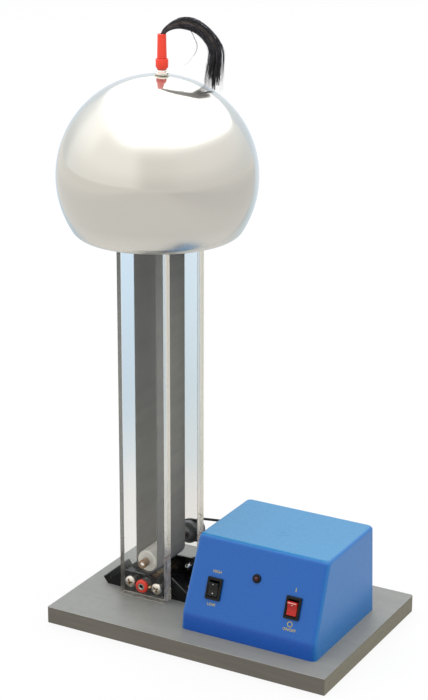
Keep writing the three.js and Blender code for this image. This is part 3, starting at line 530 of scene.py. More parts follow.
    p = Paint("aluminium", base_color=(0.62, 0.63, 0.64), roughness=0.32, metallic=1.0)
    brushed = p.noise(420, 4.0, 0.7, p.scaled(0.12, 2.2, 2.2))
    p.color(p.ramp(brushed, [(0.3, (0.56, 0.57, 0.58)), (0.7, (0.68, 0.69, 0.70))]))
    p.roughness(p.span(brushed, 0.24, 0.42))
    p.bump(brushed, 0.12, 0.00008)
    M["aluminium"] = p.mat

    # stoved black paint: orange peel and dust
    p = Paint("black_gloss", base_color=(0.008, 0.008, 0.009), roughness=0.28, specular_ior_level=0.22)
    dust = p.noise(70, 5.0, 0.75)
    p.color(p.ramp(dust, [(0.40, (0.005, 0.005, 0.006)), (0.80, (0.014, 0.014, 0.014))]))
    p.roughness(p.span(p.noise(45, 4.0, 0.7), 0.20, 0.36))
    p.bump(p.noise(420, 2.0), 0.10, 0.00012)
    M["black_gloss"] = p.mat

    # nylon: waxy
    # a faint emission is painted light: the nylon glows a little, as if more light reached it through the clear plates
    p = Paint("white_nylon", base_color=(0.88, 0.84, 0.77), roughness=0.42, subsurface_weight=0.25,
              emission_color=(1.0, 0.93, 0.82), emission_strength=0.05)
    p.bsdf.inputs["Subsurface Radius"].default_value = (0.004, 0.0035, 0.003)
    p.bsdf.inputs["Subsurface Scale"].default_value = 0.4
    p.color(p.ramp(p.noise(120, 4.0, 0.6), [(0.3, (0.86, 0.815, 0.735)), (0.7, (0.92, 0.885, 0.82))]))
    p.roughness(p.span(p.noise(300, 3.0), 0.36, 0.50))
    p.bump(p.noise(500, 2.0, 0.5), 0.08, 0.00008)
    M["white_nylon"] = p.mat
    M["grey_plastic"] = varied("grey_plastic", (0.16, 0.165, 0.17), 0.45, 0.10, 140, 0.06, 300, (0.08, 500, 0.0001)).mat
    M["black_plastic"] = varied("black_plastic", (0.009, 0.009, 0.009), 0.34, 0.25, 300, 0.06, 500, (0.12, 1800, 0.00005), specular_ior_level=0.12).mat
    M["black_key"] = varied("black_key", (0.011, 0.011, 0.011), 0.20, 0.2, 300, 0.05, 500, (0.08, 1600, 0.00004), specular_ior_level=0.16).mat
    M["pulley_black"] = varied("pulley_black", (0.058, 0.060, 0.063), 0.42, 0.3, 200, 0.08, 400, (0.12, 700, 0.00012), specular_ior_level=0.4).mat

    # flat belt: rubbered cloth, dull, with cross marks where it was pressed; its colour also carries painted light and
    # shade by height, and a much lighter copy for the faces inside the loop
    def belt(name, tone_and_painted_lift, painted_height_shade):
        p = Paint(name, base_color=(0.105, 0.105, 0.098), roughness=0.62, specular_ior_level=0.35, sheen_weight=0.15)
        p.bsdf.inputs["Sheen Roughness"].default_value = 0.5
        cross = p.noise(30, 4.0, 0.6, p.scaled(0.1, 0.25, 3.0))
        c = p.ramp(cross, [(at, tuple(v * tone_and_painted_lift for v in tone)) for at, tone in ((0.28, (0.085, 0.086, 0.082)), (0.60, (0.108, 0.108, 0.101)), (0.80, (0.122, 0.121, 0.112)))])
        warp = p.wave(900, p.scaled(0.1, 1, 0.05), 0.6, "Y")
        weft = p.wave(900, p.scaled(0.1, 0.05, 1), 0.6, "Z")
        cloth = p.math("MULTIPLY", warp, weft)
        c = p.mix(p.span(cloth, 0.0, 0.14, 0.0, 1.0), c, (0.19 * tone_and_painted_lift, 0.19 * tone_and_painted_lift, 0.18 * tone_and_painted_lift))
        height = p.new("ShaderNodeSeparateXYZ")
        p.join(p.coord, height.inputs[0])
        # painted light and shade by height: lighter and warmer near the board, darker and cooler further up
        c = p.mix(1.0, c, p.ramp(p.span(height.outputs["Z"], 0.0, 1.0, 0.08, 0.40), painted_height_shade), "MULTIPLY")
        p.color(c)
        p.roughness(p.span(p.noise(90, 4.0, 0.6), 0.54, 0.70))
        p.bump(cloth, 0.18, 0.00008)
        p.bump(p.noise(16, 2.0, 0.5, p.scaled(1, 0.3, 1.5)), 0.16, 0.0012)
        return p.mat

    # the second copy is painted much lighter for the faces inside the loop, which lie in shade between the runs
    M["belt_rubber"] = belt("belt_rubber", 1.45, [(0.0, (1.00, 0.95, 0.88)), (0.45, (0.80, 0.79, 0.74)), (1.0, (0.68, 0.71, 0.69))])
    M["belt_inside_painted_light"] = belt("belt_inside_painted_light", 2.95, [(0.0, (1.00, 0.95, 0.875)), (0.23, (0.87, 0.83, 0.77)), (0.36, (0.72, 0.70, 0.65)), (0.49, (0.62, 0.62, 0.58)), (0.62, (0.55, 0.56, 0.53)), (0.75, (0.50, 0.52, 0.50)), (1.0, (0.51, 0.53, 0.52))])
    M["cord_rubber"] = varied("cord_rubber", (0.010, 0.010, 0.011), 0.5, 0.3, 200, 0.08, 500, (0.10, 900, 0.00008), specular_ior_level=0.3).mat

    M["red_plastic"] = varied("red_plastic", (0.75, 0.050, 0.025), 0.36, 0.06, 160, 0.06, 400, (0.08, 1200, 0.00006), specular_ior_level=0.35).mat
    p = varied("red_socket", (0.55, 0.034, 0.018), 0.32, 0.06, 160, 0.06, 400, (0.08, 1200, 0.00006), specular_ior_level=0.4)
    M["red_socket"] = p.mat
    M["grey_thread"] = varied("grey_thread", (0.12, 0.10, 0.095), 0.45, 0.08, 300, 0.06, 400, (0.2, 1400, 0.0001)).mat
    M["bore_painted_shade"] = varied("bore_painted_shade", (0.010, 0.010, 0.010), 0.5, 0.3, 300, 0.06, 400).mat
    p = varied("red_key", (0.33, 0.010, 0.006), 0.18, 0.08, 120, 0.05, 300, (0.05, 900, 0.00005), specular_ior_level=0.28)
    M["red_key"] = p.mat
    p = varied("dark_lens", (0.040, 0.003, 0.005), 0.05, 0.3, 200, 0.03, 300, (0.03, 500, 0.00005), specular_ior_level=0.4)
    M["dark_lens"] = p.mat

    p = varied("print_yellow", (0.50, 0.38, 0.008), 0.5, 0.12, 900, 0.06, 900, (0.10, 2000, 0.00003), specular_ior_level=0.08)
    M["key_bar"] = varied("key_bar", (0.72, 0.34, 0.30), 0.3, 0.1, 900, 0.06, 600, (0.06, 1500, 0.00003)).mat
    M["pale_inlay"] = varied("pale_inlay", (0.50, 0.49, 0.46), 0.4, 0.08, 600, 0.06, 600, (0.06, 1500, 0.00003)).mat
    M["print_yellow"] = p.mat

    # circuit board: green mask over copper lines
    p = Paint("circuit_board", base_color=(0.02, 0.11, 0.04), roughness=0.35)
    lines = p.new("ShaderNodeTexBrick")
    lines.inputs["Scale"].default_value = 120
    lines.inputs["Color1"].default_value = (0.018, 0.10, 0.035, 1)
    lines.inputs["Color2"].default_value = (0.022, 0.12, 0.045, 1)
    lines.inputs["Mortar"].default_value = (0.05, 0.20, 0.08, 1)
    p.join(p.coord, lines.inputs["Vector"])
    p.color(p.mix(p.span(p.noise(80), 0.0, 0.5), lines.outputs["Color"], (0.012, 0.07, 0.025)))
    p.roughness(p.span(p.noise(200), 0.28, 0.45))
    p.bump(lines.outputs["Fac"], 0.2, 0.0001)
    M["circuit_board"] = p.mat
    M["motor_can"] = varied("motor_can", (0.42, 0.42, 0.40), 0.38, 0.10, 60, 0.08, 200, (0.08, 500, 0.0001), metallic=1.0).mat

    # hair: dark strands with brown tints along them; the brown strands carry a painted highlight as well
    def hair(name, lo, hi, rough):
        q = Paint(name, base_color=lo, roughness=rough, specular_ior_level=0.22)
        f = q.noise(210, 4.0, 0.7)
        q.color(q.ramp(f, [(0.35, lo), (0.68, hi)]))
        q.roughness(q.span(q.noise(400), rough - 0.08, rough + 0.1))
        return q.mat

    M["hair_dark"] = hair("hair_dark", (0.006, 0.006, 0.006), (0.020, 0.018, 0.017), 0.36)
    M["hair_brown_painted_highlight"] = hair("hair_brown_painted_highlight", (0.040, 0.028, 0.021), (0.125, 0.090, 0.068), 0.45)
    M["hair_fine"] = hair("hair_fine", (0.022, 0.022, 0.026), (0.085, 0.085, 0.105), 0.42)

    # the floor isn't part of the object: white to the eye, and what the sheet and the metal
    # pick up from it is warm near the board and cooler further back
    p = Paint("studio_floor", base_color=(0.09, 0.09, 0.09), roughness=0.9, specular_ior_level=0.0,
              emission_color=(1.0, 1.0, 1.0), emission_strength=0.85)
    turn = p.new("ShaderNodeMapping", vector_type="POINT")
    turn.inputs["Rotation"].default_value = (0.0, 0.0, -math.radians(29.1085))
    p.join(p.coord, turn.inputs["Vector"])
    xyz = p.new("ShaderNodeSeparateXYZ")
    p.join(turn.outputs[0], xyz.inputs[0])
    X, Y = xyz.outputs["X"], xyz.outputs["Y"]
    near = p.ramp(p.span(Y, 0.0, 1.0, 0.0, 2.0), [
        (0.0, (0.94, 0.93, 0.90)), (0.14, (0.92, 0.87, 0.83)), (0.22, (0.73, 0.79, 0.81)), (0.34, (0.66, 0.78, 0.85)), (0.55, (0.74, 0.89, 1.00)), (0.9, (0.86, 1.00, 1.14))])

    # the sheet behind the object ends along a line on either side; past it is the room's floor
    def past(line, lo, hi, a=0.0, b=1.0):
        n = p.new("ShaderNodeMapRange", interpolation_type="SMOOTHSTEP")
        for k, v in (("From Min", lo), ("From Max", hi), ("To Min", a), ("To Max", b)):
            n.inputs[k].default_value = v
        p.join(line, n.inputs["Value"])
        return n.outputs["Result"]

    right = p.math("SUBTRACT", X, p.math("MULTIPLY", Y, 0.681))
    left = p.math("SUBTRACT", p.math("MULTIPLY", X, -1.0), p.math("MULTIPLY", Y, 0.27))
    back_left = p.mix(past(p.math("MULTIPLY", X, -1.0), 0.04, 0.14), (1.0, 1.0, 1.0), (0.79, 0.865, 0.94))
    near = p.mix(past(Y, 0.35, 0.6), near, p.mix(1.0, near, back_left, "MULTIPLY"))
    room = p.mix(past(X, 0.2, 1.1), (0.905, 0.895, 0.872), (0.80, 0.79, 0.775))
    room = p.mix(past(X, 1.6, 3.0), room, (0.88, 0.87, 0.85))
    far = p.math("SQRT", p.math("ADD", p.math("MULTIPLY", X, X), p.math("MULTIPLY", Y, Y)))
    room = p.mix(past(far, 3.2, 5.5), room, (1.00, 0.985, 0.955))
    room = p.mix(past(p.math("MULTIPLY", X, -1.0), 1.2, 2.8), room, (1.07, 1.05, 1.01))
    c = p.mix(past(left, 0.34, 0.46), near, room)
    c = p.mix(past(right, 0.080, 0.092), c, (0.62, 0.64, 0.65))
    c = p.mix(past(right, 0.11, 0.16), c, room)
    # in front of the board the sheet is plain
    c = p.mix(past(Y, -0.25, 0.0), room, c)
    c = p.mix(p.new("ShaderNodeLightPath").outputs["Is Camera Ray"], c, (1.0, 1.0, 1.0))
    p.join(c, p.bsdf.inputs["Emission Color"])
    M["studio_floor"] = p.mat

    p = Paint("softbox", base_color=(0.0, 0.0, 0.0), roughness=1.0, specular_ior_level=0.0, emission_color=(1.0, 1.0, 1.0))
    a = p.new("ShaderNodeAttribute", attribute_name="fade")
    p.bsdf.inputs["Emission Strength"].default_value = 2.35
    clear = p.new("ShaderNodeBsdfTransparent")
    both = p.new("ShaderNodeMixShader")
    p.join(a.outputs["Fac"], both.inputs[0])
    p.join(clear.outputs[0], both.inputs[1])
    p.join(p.bsdf.outputs[0], both.inputs[2])
    p.join(both.outputs[0], [n for n in p.nt.nodes if n.type == "OUTPUT_MATERIAL"][0].inputs[0])
    M["softbox"] = p.mat
    return M


M = make_materials()


# ------------------------------------------------------------------ camera, light and floor
def studio():
    a, e, roll = math.radians(29.1085), math.radians(18.4104), math.radians(0.2004)
    back = Vector((math.sin(a) * math.cos(e), -math.cos(a) * math.cos(e), math.sin(e)))
    right = Vector((math.cos(a), math.sin(a), 0))
    up = back.cross(right)
    r = right * math.cos(roll) + up * math.sin(roll)
    u = up * math.cos(roll) - right * math.sin(roll)
    cam = bpy.data.cameras.new("camera")
    cam.sensor_width = 36
    cam.lens = 36 * 1895.886 / 700
    cam.clip_start, cam.clip_end = 0.05, 60
    ob = place(bpy.data.objects.new("camera", cam))
    ob.matrix_world = basis(r, u, back, Vector((0.8049, -1.4834, 0.8377)))
    scene.camera = ob

    floor = lathe("studio_floor", [(0, -0.1), (14000, -0.1)], 96)
    for p in floor.data.polygons:
        if p.normal.z < 0:
            p.flip()
    paint(floor, M["studio_floor"])

    # a large softbox overhead: round in front, flaring to the right towards the back,
    # fading over its rim
    side, depth = Vector((math.cos(a), math.sin(a), 0)), Vector((-math.sin(a), math.cos(a), 0))
    h = 1.5

    shape = [Vector(q) for q in ((-0.88, 2.45), (-0.88, 1.3), (-0.88, 0.4), (-0.90, -0.1), (-0.90, -0.42), (-0.80, -0.74), (-0.58, -0.94), (-0.25, -1.0), (0.1, -1.01),
                                 (0.45, -0.98), (0.76, -0.88), (0.99, -0.70), (1.18, -0.47), (1.38, -0.15), (1.54, 0.18), (1.66, 0.55), (1.82, 1.10), (1.88, 1.60), (1.82, 2.05), (1.6, 2.4), (1.2, 2.6), (0.1, 2.6))]

    def outline(grow):
        pts = []
        for i, q in enumerate(shape):
            t = (shape[(i + 1) % len(shape)] - shape[i - 1]).normalized()
            pts.append((q.x + t.y * grow, q.y - t.x * grow))
        return pts

    rows = [outline(g) for g in (-0.12, -0.04, 0.04, 0.14, 0.36)]
    level = [1.0, 0.8, 0.45, 0.18, 0.0]
    me = bpy.data.meshes.new("softbox")
    n = len(rows[0])
    base = Vector((DX * MM, DY * MM, DZ * MM + h))
    verts = [base + side * (x * h) + depth * (y * h) for row in rows for x, y in row]
    faces = [list(range(n))] + [[k * n + i, k * n + (i + 1) % n, (k + 1) * n + (i + 1) % n, (k + 1) * n + i] for k in range(len(rows) - 1) for i in range(n)]
    me.from_pydata(verts, [], faces)
    fade = me.attributes.new("fade", "FLOAT", "POINT")
    for k in range(len(rows)):
        for i in range(n):
            fade.data[k * n + i].value = level[k]
    lo = place(bpy.data.objects.new("softbox", me))
    lo.visible_camera = False
    paint(lo, M["softbox"])

    world = bpy.data.worlds.new("studio")
    scene.world = world
    world.use_nodes = True
    nt = world.node_tree
    nt.nodes.clear()
    out = nt.nodes.new("ShaderNodeOutputWorld")
    co = nt.nodes.new("ShaderNodeTexCoord").outputs["Generated"]

    def dot(v):
        n = nt.nodes.new("ShaderNodeVectorMath")
        n.operation = "DOT_PRODUCT"
        n.inputs[1].default_value = v
        nt.links.new(co, n.inputs[0])
        return n.outputs["Value"]

    def ramp(fac, lo, hi, stops):
        m = nt.nodes.new("ShaderNodeMapRange")
        m.inputs["From Min"].default_value, m.inputs["From Max"].default_value = lo, hi
        nt.links.new(fac, m.inputs["Value"])
        n = nt.nodes.new("ShaderNodeValToRGB")
        el = n.color_ramp.elements
        while len(el) > 1:
            el.remove(el[-1])
        for i, (pos, col) in enumerate(stops):
            s = el[0] if i == 0 else el.new(pos)
            s.position, s.color = pos, (*col, 1)
        nt.links.new(m.outputs[0], n.inputs["Fac"])
        return n.outputs["Color"]

    # the room: warm white in front, cooler behind, brighter at the left and high at the back
    def node_math(op, x, y):
        n = nt.nodes.new("ShaderNodeMath")
        n.operation = op
        for sock, v in ((n.inputs[0], x), (n.inputs[1], y)):
            if isinstance(v, bpy.types.NodeSocket):
                nt.links.new(v, sock)
            else:
                sock.default_value = v
        return n.outputs[0]

    def smooth(fac, lo, hi, a, b):
        m = nt.nodes.new("ShaderNodeMapRange")
        m.interpolation_type = "SMOOTHSTEP"
        for k, v in (("From Min", lo), ("From Max", hi), ("To Min", a), ("To Max", b)):
            m.inputs[k].default_value = v
        nt.links.new(fac, m.inputs["Value"])
        return m.outputs[0]

    D, S, Z = dot(depth), dot(side), dot(Vector((0, 0, 1)))
    tone = ramp(D, -1, 1, [(0.0, (1.0, 0.985, 0.955)), (0.55, (1.0, 0.99, 0.97)), (0.85, (0.96, 0.985, 1.0)), (1.0, (0.95, 0.985, 1.0))])

    def chain(op, first, *rest):
        for r in rest:
            first = node_math(op, first, r)
        return first

    left = chain("MULTIPLY", smooth(S, -0.5, -0.15, 1.0, 0.0), smooth(D, 0.45, 0.75, 1.0, 0.0))
    high = chain("MULTIPLY", smooth(Z, 0.45, 0.7, 0.0, 0.22), smooth(S, 0.2, 0.6, 1.0, 0.0), node_math("SUBTRACT", 1.0, node_math("MULTIPLY", left, 0.75)))
    rear = chain("MULTIPLY", smooth(D, -0.25, 0.15, 0.0, 0.28), smooth(Z, 0.15, 0.55, 0.0, 1.0), smooth(S, -0.6, -0.2, 1.0, 0.0))
    level = chain("ADD", smooth(Z, 0.0, 0.3, 0.93, 1.08), smooth(S, 0.1, 0.6, 0.0, 0.06), node_math("MULTIPLY", left, 0.28), high, rear)
    # the sheet hung behind, cooler and a little darker than the room
    sheet = chain("MULTIPLY", smooth(node_math("SUBTRACT", node_math("MULTIPLY", D, 0.805), S), -0.02, 0.02, 0.0, 1.0),
                  smooth(node_math("ADD", node_math("MULTIPLY", D, 0.495), S), -0.1, 0.1, 0.0, 1.0), smooth(Z, 0.5, 0.8, 1.0, 0.0))
    bg = nt.nodes.new("ShaderNodeBackground")
    nt.links.new(chain("ADD", node_math("MULTIPLY", level, node_math("SUBTRACT", 1.0, sheet)), node_math("MULTIPLY", sheet, 0.92)), bg.inputs["Strength"])
    hue = nt.nodes.new("ShaderNodeMix")
    hue.data_type = "RGBA"
    nt.links.new(sheet, hue.inputs[0])
    nt.links.new(tone, hue.inputs[6])
    hue.inputs[7].default_value = (0.92, 1.02, 1.12, 1.0)
    nt.links.new(hue.outputs[2], bg.inputs["Color"])
    plain = nt.nodes.new("ShaderNodeBackground")
    plain.inputs["Color"].default_value = (1, 1, 1, 1)
    plain.inputs["Strength"].default_value = 1.0
    mix = nt.nodes.new("ShaderNodeMixShader")
    nt.links.new(nt.nodes.new("ShaderNodeLightPath").outputs["Is Camera Ray"], mix.inputs[0])
    nt.links.new(bg.outputs[0], mix.inputs[1])
    nt.links.new(plain.outputs[0], mix.inputs[2])
    nt.links.new(mix.outputs[0], out.inputs[0])

    scene.view_settings.view_transform = "Standard"
    scene.view_settings.look = "None"
    scene.view_settings.exposure = 0.0
    scene.view_settings.gamma = 1.0
    scene.cycles.use_denoising = True
    scene.cycles.max_bounces = 16
    scene.cycles.transmission_bounces = 14
    scene.cycles.glossy_bounces = 6
    scene.cycles.diffuse_bounces = 4
    scene.cycles.transparent_max_bounces = 12


studio()


# ------------------------------------------------------------------ board
def board():
    # the corners are nearly square, and the one at the back right is worn rounder
    outline = (arc(149.2, -99.2, 0.8, -90, 0, 6) + arc(147, 97, 3.0, 0, 90, 8) + arc(-149.2, 99.2, 0.8, 90, 180, 6) + arc(-149.2, -99.2, 0.8, 180, 270, 6))
    ob = prism("board_panel", outline, 0, TOP)
    tools = []
    for x, y in ((-4.8, -65.5), (118.7, -65.5), (-4.8, 43.7), (118.7, 43.7)):
        tools.append(lathe("t", [(0, -1), (4.2, -1), (4.2, 3.6), (2.1, 3.6), (2.1, TOP - 1), (0, TOP - 1)], 32, axis_z(x, y)))
    cut(ob, *tools)
    soften(ob, 0.75, 3, 40)

    # end faces take the strip painted paler as light from that side, the front top rounding the painted highlight
    def pick(c, n):
        if abs(n.z) > 0.97:
            return 0
        if n.z > 0.2:
            return 3 if n.y < -0.2 else 1
        return 2 if n.x > 0.5 else 1

    paint(ob, [M["laminate_top"], M["laminate_edge_with_painted_shade"], M["laminate_end_painted_light"], M["laminate_rim_painted_highlight"]], pick)
    finish_piece(ob, "base", "baseboard", 40, True)


# ------------------------------------------------------------------ housing
def housing_skin(name, off, levels, corner, R):
    """The housing's outside, or its inside at an offset, drawn level by level."""
    def at(z):
        k = max(0.0, (z - TOP) / 89.0)
        w = 2.2
        d = z - FOLD
        d = 0.0 if d < -w else d if d > w else (d + w) ** 2 / (4 * w)
        f = d / (HTOP - FOLD)
        return (HX0 + (TX0 - HX0) * k, HX1 + (TX1 - HX1) * k, HY0 + (TY0 - HY0) * f, HY1 + (TY1 - HY1) * k)

    rows = []
    for z, inset in levels:
        x0, x1, y0, y1 = at(z)
        o = off + inset
        r = max(1.2, corner - off - inset * 0.6)
        rows.append([(x, y, z) for x, y in rounded(x0 + o, x1 - o, y0 + o, y1 - o, r, 10)])
    n = len(rows[0])
    verts = [v for row in rows for v in row]
    faces = [list(range(n))[::-1], list(range((len(rows) - 1) * n, len(rows) * n))]
    for k in range(len(rows) - 1):
        for i in range(n):
            j = (i + 1) % n
            faces.append([k * n + i, k * n + j, (k + 1) * n + j, (k + 1) * n + i])
    return build(name, verts, faces)


def housing():
    R = 3.7
    levels = [(TOP, 0.0), (TOP + 0.6, 0.0)] + [(FOLD + d, 0.0) for d in (-2.2, -1.65, -1.1, -0.55, 0, 0.55, 1.1, 1.65, 2.2)]
    levels += [(HTOP - R + R * math.sin(math.pi / 2 * i / 9), R * (1 - math.cos(math.pi / 2 * i / 9))) for i in range(10)]
    ob = housing_skin("housing_body", 0.0, levels, 5.2, R)
    inner = housing_skin("t", 2.6, [(TOP - 1, 0), (FOLD - 4, 0), (FOLD, 0), (FOLD + 4, 0), (HTOP - 2.6, 0)], 5.2, R)
    tools = [inner]
    for x in ROCKER_X:
        tools.append(block("t", -6.7, 6.7, -9.7, 9.7, -8, 8, on_panel(x, ROCKER_S)))
    tools.append(lathe("t", [(0, -8), (3.4, -8), (3.4, 8), (0, 8)], 40, on_panel(LED_X, LED_S)))
    tools.append(block("t", -13.5, 13.5, -9.8, 9.8, -8, 8, on_back(98, 24)))
    tools.append(lathe("t", [(0, 0), (7, 0), (7, 20), (0, 20)], 48, axis_y(MX, MZ, 40)))
    cut(ob, *tools)
    # the ring that the mould's pin leaves in the middle of the top
    for name, r0, r1 in (("top_ring_outer", 7.3, 8.6), ("top_ring_inner", 1.7, 2.8)):
        ring = lathe(name, [(r0, -0.05), (r0, 0.02), (r0 + 0.3, 0.14), (r1 - 0.3, 0.14), (r1, 0.02), (r1, -0.05)], 64, axis_z(58.6, -7.2, HTOP), ring=True)
        paint(ring, M["blue_abs_painted_facing_light"])
        finish_piece(ring, "base", (), 60)
    paint(ob, M["blue_abs_painted_facing_light"])
    finish_piece(ob, "base", "housing_shell", 28, True)


# ------------------------------------------------------------------ generic switch marks
def mark(name, text, x, s, size, spread=1.0):
    cu = bpy.data.curves.new(name, "FONT")
    cu.body, cu.size, cu.align_x, cu.align_y = text, size * MM, "CENTER", "CENTER"
    cu.extrude = 0.03 * MM
    cu.space_character = spread
    tmp = place(bpy.data.objects.new(name + "_t", cu))
    dg = bpy.context.evaluated_depsgraph_get()
    me = bpy.data.meshes.new_from_object(tmp.evaluated_get(dg), depsgraph=dg)
    bpy.data.objects.remove(tmp)
    m = on_panel(x, s)
    m = Matrix.Translation(m.translation * MM) @ m.to_3x3().to_4x4() @ Matrix.Translation((0, 0, 0.05 * MM))
    me.transform(m)
    ob = place(bpy.data.objects.new(name, me))
    paint(ob, M["print_yellow"])
    finish_piece(ob, "base", (), 30)


def marks():
    mark("mark_high", "HIGH", 16.6, 45.3, 3.8)
    mark("mark_low", "LOW", 16.1, 13.9, 3.8)
    mark("mark_on_off", "ON/OFF", 99.5, 8.6, 3.7)
    m = on_panel(99.5, 46.0)
    ob = prism("mark_line", rounded(-0.3, 0.3, -1.9, 1.9, 0.2, 4), 0.03, 0.09, m)
    paint(ob, M["print_yellow"])
    finish_piece(ob, "base", ())
    m = on_panel(99.2, 13.8)
    ob = lathe("mark_ring", [(2.1, 0.03), (2.65, 0.03), (2.65, 0.09), (2.1, 0.09)], 48, m, ring=True)
    paint(ob, M["print_yellow"])
    finish_piece(ob, "base", ())


# ------------------------------------------------------------------ column plates
def plates():
    for name, y0, y1, node in (("clear_plate_front", PYF, YF1, "front_column_plate"), ("clear_plate_rear", YR0, PYR, "rear_column_plate")):
        ob = block(name, PX0, PX1, y0, y1, TOP + 0.02, PTOP)
        soften(ob, 0.6, 2, 40)
        # the sawn bottom corner is left matt
        paint(ob, [M["acrylic_face"], M["acrylic_edge" if node == "front_column_plate" else "acrylic_edge_rear"], M["acrylic_rim"]], lambda c, n: 2 if -0.97 < n.z < -0.2 else 0 if abs(n.y) > 0.9 else 1)
        finish_piece(ob, "base", node, 40, True)


# ------------------------------------------------------------------ folded bracket
def bracket():
    t = 2.0
    parts = []

    def wing(name, y0, y1):
        out = [(BX0, TOP), (BX1, TOP), (BX1, TOP + 2), (BX1 - BRIGHT, TOP + BH), (BX0 + BLEFT, TOP + BH), (BX0, TOP + 2)]
        m = Matrix(((1, 0, 0, 0), (0, 0, -1, y1), (0, 1, 0, 0), (0, 0, 0, 1)))
        return prism(name, out, 0, y1 - y0, m)

    ob = block("bracket_sheet", BX0, BX1, BY0, BY1, TOP + 0.02, TOP + t)
    parts.append(wing("t", BY0, BY0 + t))
    parts.append(wing("t", BY1 - t, BY1))
    for s, x in ((1, BX0), (-1, BX1)):
        lip = [(x, TOP + 0.02), (x - s * 4.5, TOP + 5.8), (x - s * 4.9, TOP + 6.6), (x - s * 4.7, TOP + 7.2), (x - s * 4.0, TOP + 7.5), (x - s * 3.1, TOP + 7.4), (x + s * 1.4, TOP + t), (x + s * 1.7, TOP + 0.02)]
        m = Matrix(((1, 0, 0, 0), (0, 0, -1, BY1), (0, 1, 0, 0), (0, 0, 0, 1)))
        parts.append(prism("t", lip, 0, BY1 - BY0, m))
    cut(ob, *parts, op="UNION")
    tools = []
    for y, side in ((BY0, "front"), (BY1, "rear")):
        for x, z in SCREWS[side]:
            tools.append(lathe("t", [(0, -3), (2.7, -3), (2.7, 3), (0, 3)], 32, axis_y(x, z, y)))
    tools.append(lathe("t", [(0, -3), (6.2, -3), (6.2, 3), (0, 3)], 48, axis_y(SOCKET_X, SOCKET_Z, BY0)))
    for x in FLOOR_X:
        tools.append(lathe("t", [(0, -1), (2.2, -1), (2.2, 4), (0, 4)], 32, axis_z(x, FLOOR_Y, TOP)))
    cut(ob, *tools)
    soften(ob, 0.4, 3, 25)
    paint(ob, M["black_gloss"])
    finish_piece(ob, "base", "base_bracket", 35, True)


# ------------------------------------------------------------------ bushes, rollers, shafts
def bushes():
    for node, y0, y1, z in (("lower_front_bush", PYF - 0.35, YF1 + 0.3, LOW_Z), ("lower_rear_bush", YR0 - 0.3, PYR + 0.35, LOW_Z),
                            ("upper_front_bush", PYF - 0.35, YF1 + 0.3, UP_Z), ("upper_rear_bush", YR0 - 0.3, PYR + 0.35, UP_Z)):
        ob = lathe(node + "_turned", [(2.8, y0), (4.1, y0), (4.1, y1), (2.8, y1)], 56, axis_y(AX, z), ring=True)
        soften(ob, 0.3, 2, 40)
        paint(ob, M["bronze"])
        finish_piece(ob, "base", node)


def drum(name, z, body, node, mat):
    y0, y1 = AY - 24.2, AY + 25.3
    prof = [(2.8, y0), (9.4, y0)] + [(9.4 + 1.3 * math.sin(math.pi / 2 * i / 5), y0 + 1.3 * (1 - math.cos(math.pi / 2 * i / 5))) for i in range(1, 6)]
    prof += [(10.85 + 0.15 * math.cos(math.pi / 2 * k / 8), AY + 22.5 * k / 8) for k in range(-8, 9)]
    prof += [(9.4 + 1.3 * math.cos(math.pi / 2 * i / 5), y1 - 1.3 * (1 - math.sin(math.pi / 2 * i / 5))) for i in range(6)]
    prof += [(2.8, y1)]
    ob = lathe(name, prof, 96, axis_y(AX, z), ring=True)
    paint(ob, mat)
    finish_piece(ob, body, node)


def rod(name, r, y0, y1, x, z, body, node, mat, chamfer=0.4, n=48):
    ob = lathe(name, [(0, y0), (r - chamfer, y0), (r, y0 + chamfer), (r, y1 - chamfer), (r - chamfer, y1), (0, y1)], n, axis_y(x, z))
    soften(ob, 0.12, 2, 30)
    paint(ob, mat)
    finish_piece(ob, body, node)


def rollers():
    drum("lower_drum_turned", LOW_Z, "lower_roller", "lower_roller_drum", M["white_nylon"])
    drum("upper_drum_turned", UP_Z, "upper_roller", "upper_roller_drum", M["grey_plastic"])
    rod("lower_shaft_turned", 2.5, PYF - 0.1, 68.0, AX, LOW_Z, "lower_roller", "lower_roller_shaft", M["nickel_bright"])
    rod("upper_shaft_turned", 2.5, PYF + 0.4, PYR - 0.4, AX, UP_Z, "upper_roller", "upper_roller_shaft", M["steel"])


def pulley(name, prof, y0, x, z, body, node, mat):
    ob = lathe(name, prof, 96, axis_y(x, z), ring=True)
    soften(ob, 0.3, 3, 30)
    paint(ob, mat)
    finish_piece(ob, body, node)


def pulleys():
    g0, g1 = DRIVE_Y - 1.5, DRIVE_Y + 1.5
    pulley("driven_pulley_turned", [
        (2.8, 48.7), (6, 48.7), (6.3, 54.2), (10.8, 54.2), (11.6, 55.0), (11.6, g0 - 0.2), (9.7, g0 + 0.3), (9.7, g1 - 0.3),
        (11.6, g1 + 0.2), (11.6, 65.8), (10.8, 66.6), (9.2, 66.6), (8.6, 65.0), (5.4, 65.0), (5, 66.6), (2.8, 66.6)],
        54.2, AX, LOW_Z, "lower_roller", "driven_pulley", M["pulley_black"])
    pulley("motor_pulley_turned", [
        (2.3, 50.7), (5, 50.7), (5, 56.7), (6.5, 56.7), (6.9, 57.2), (6.9, g0 - 0.2), (3.6, g0 + 0.3), (3.6, g1 - 0.3),
        (6.9, g1 + 0.2), (6.9, 66.2), (6.5, 66.6), (2.3, 66.6)],
        56.7, MX, MZ, "motor_rotor", "motor_pulley", M["brass"])
    rod("motor_shaft_turned", 2.0, 25, 67.6, MX, MZ, "motor_rotor", "motor_shaft", M["steel"], 0.3)


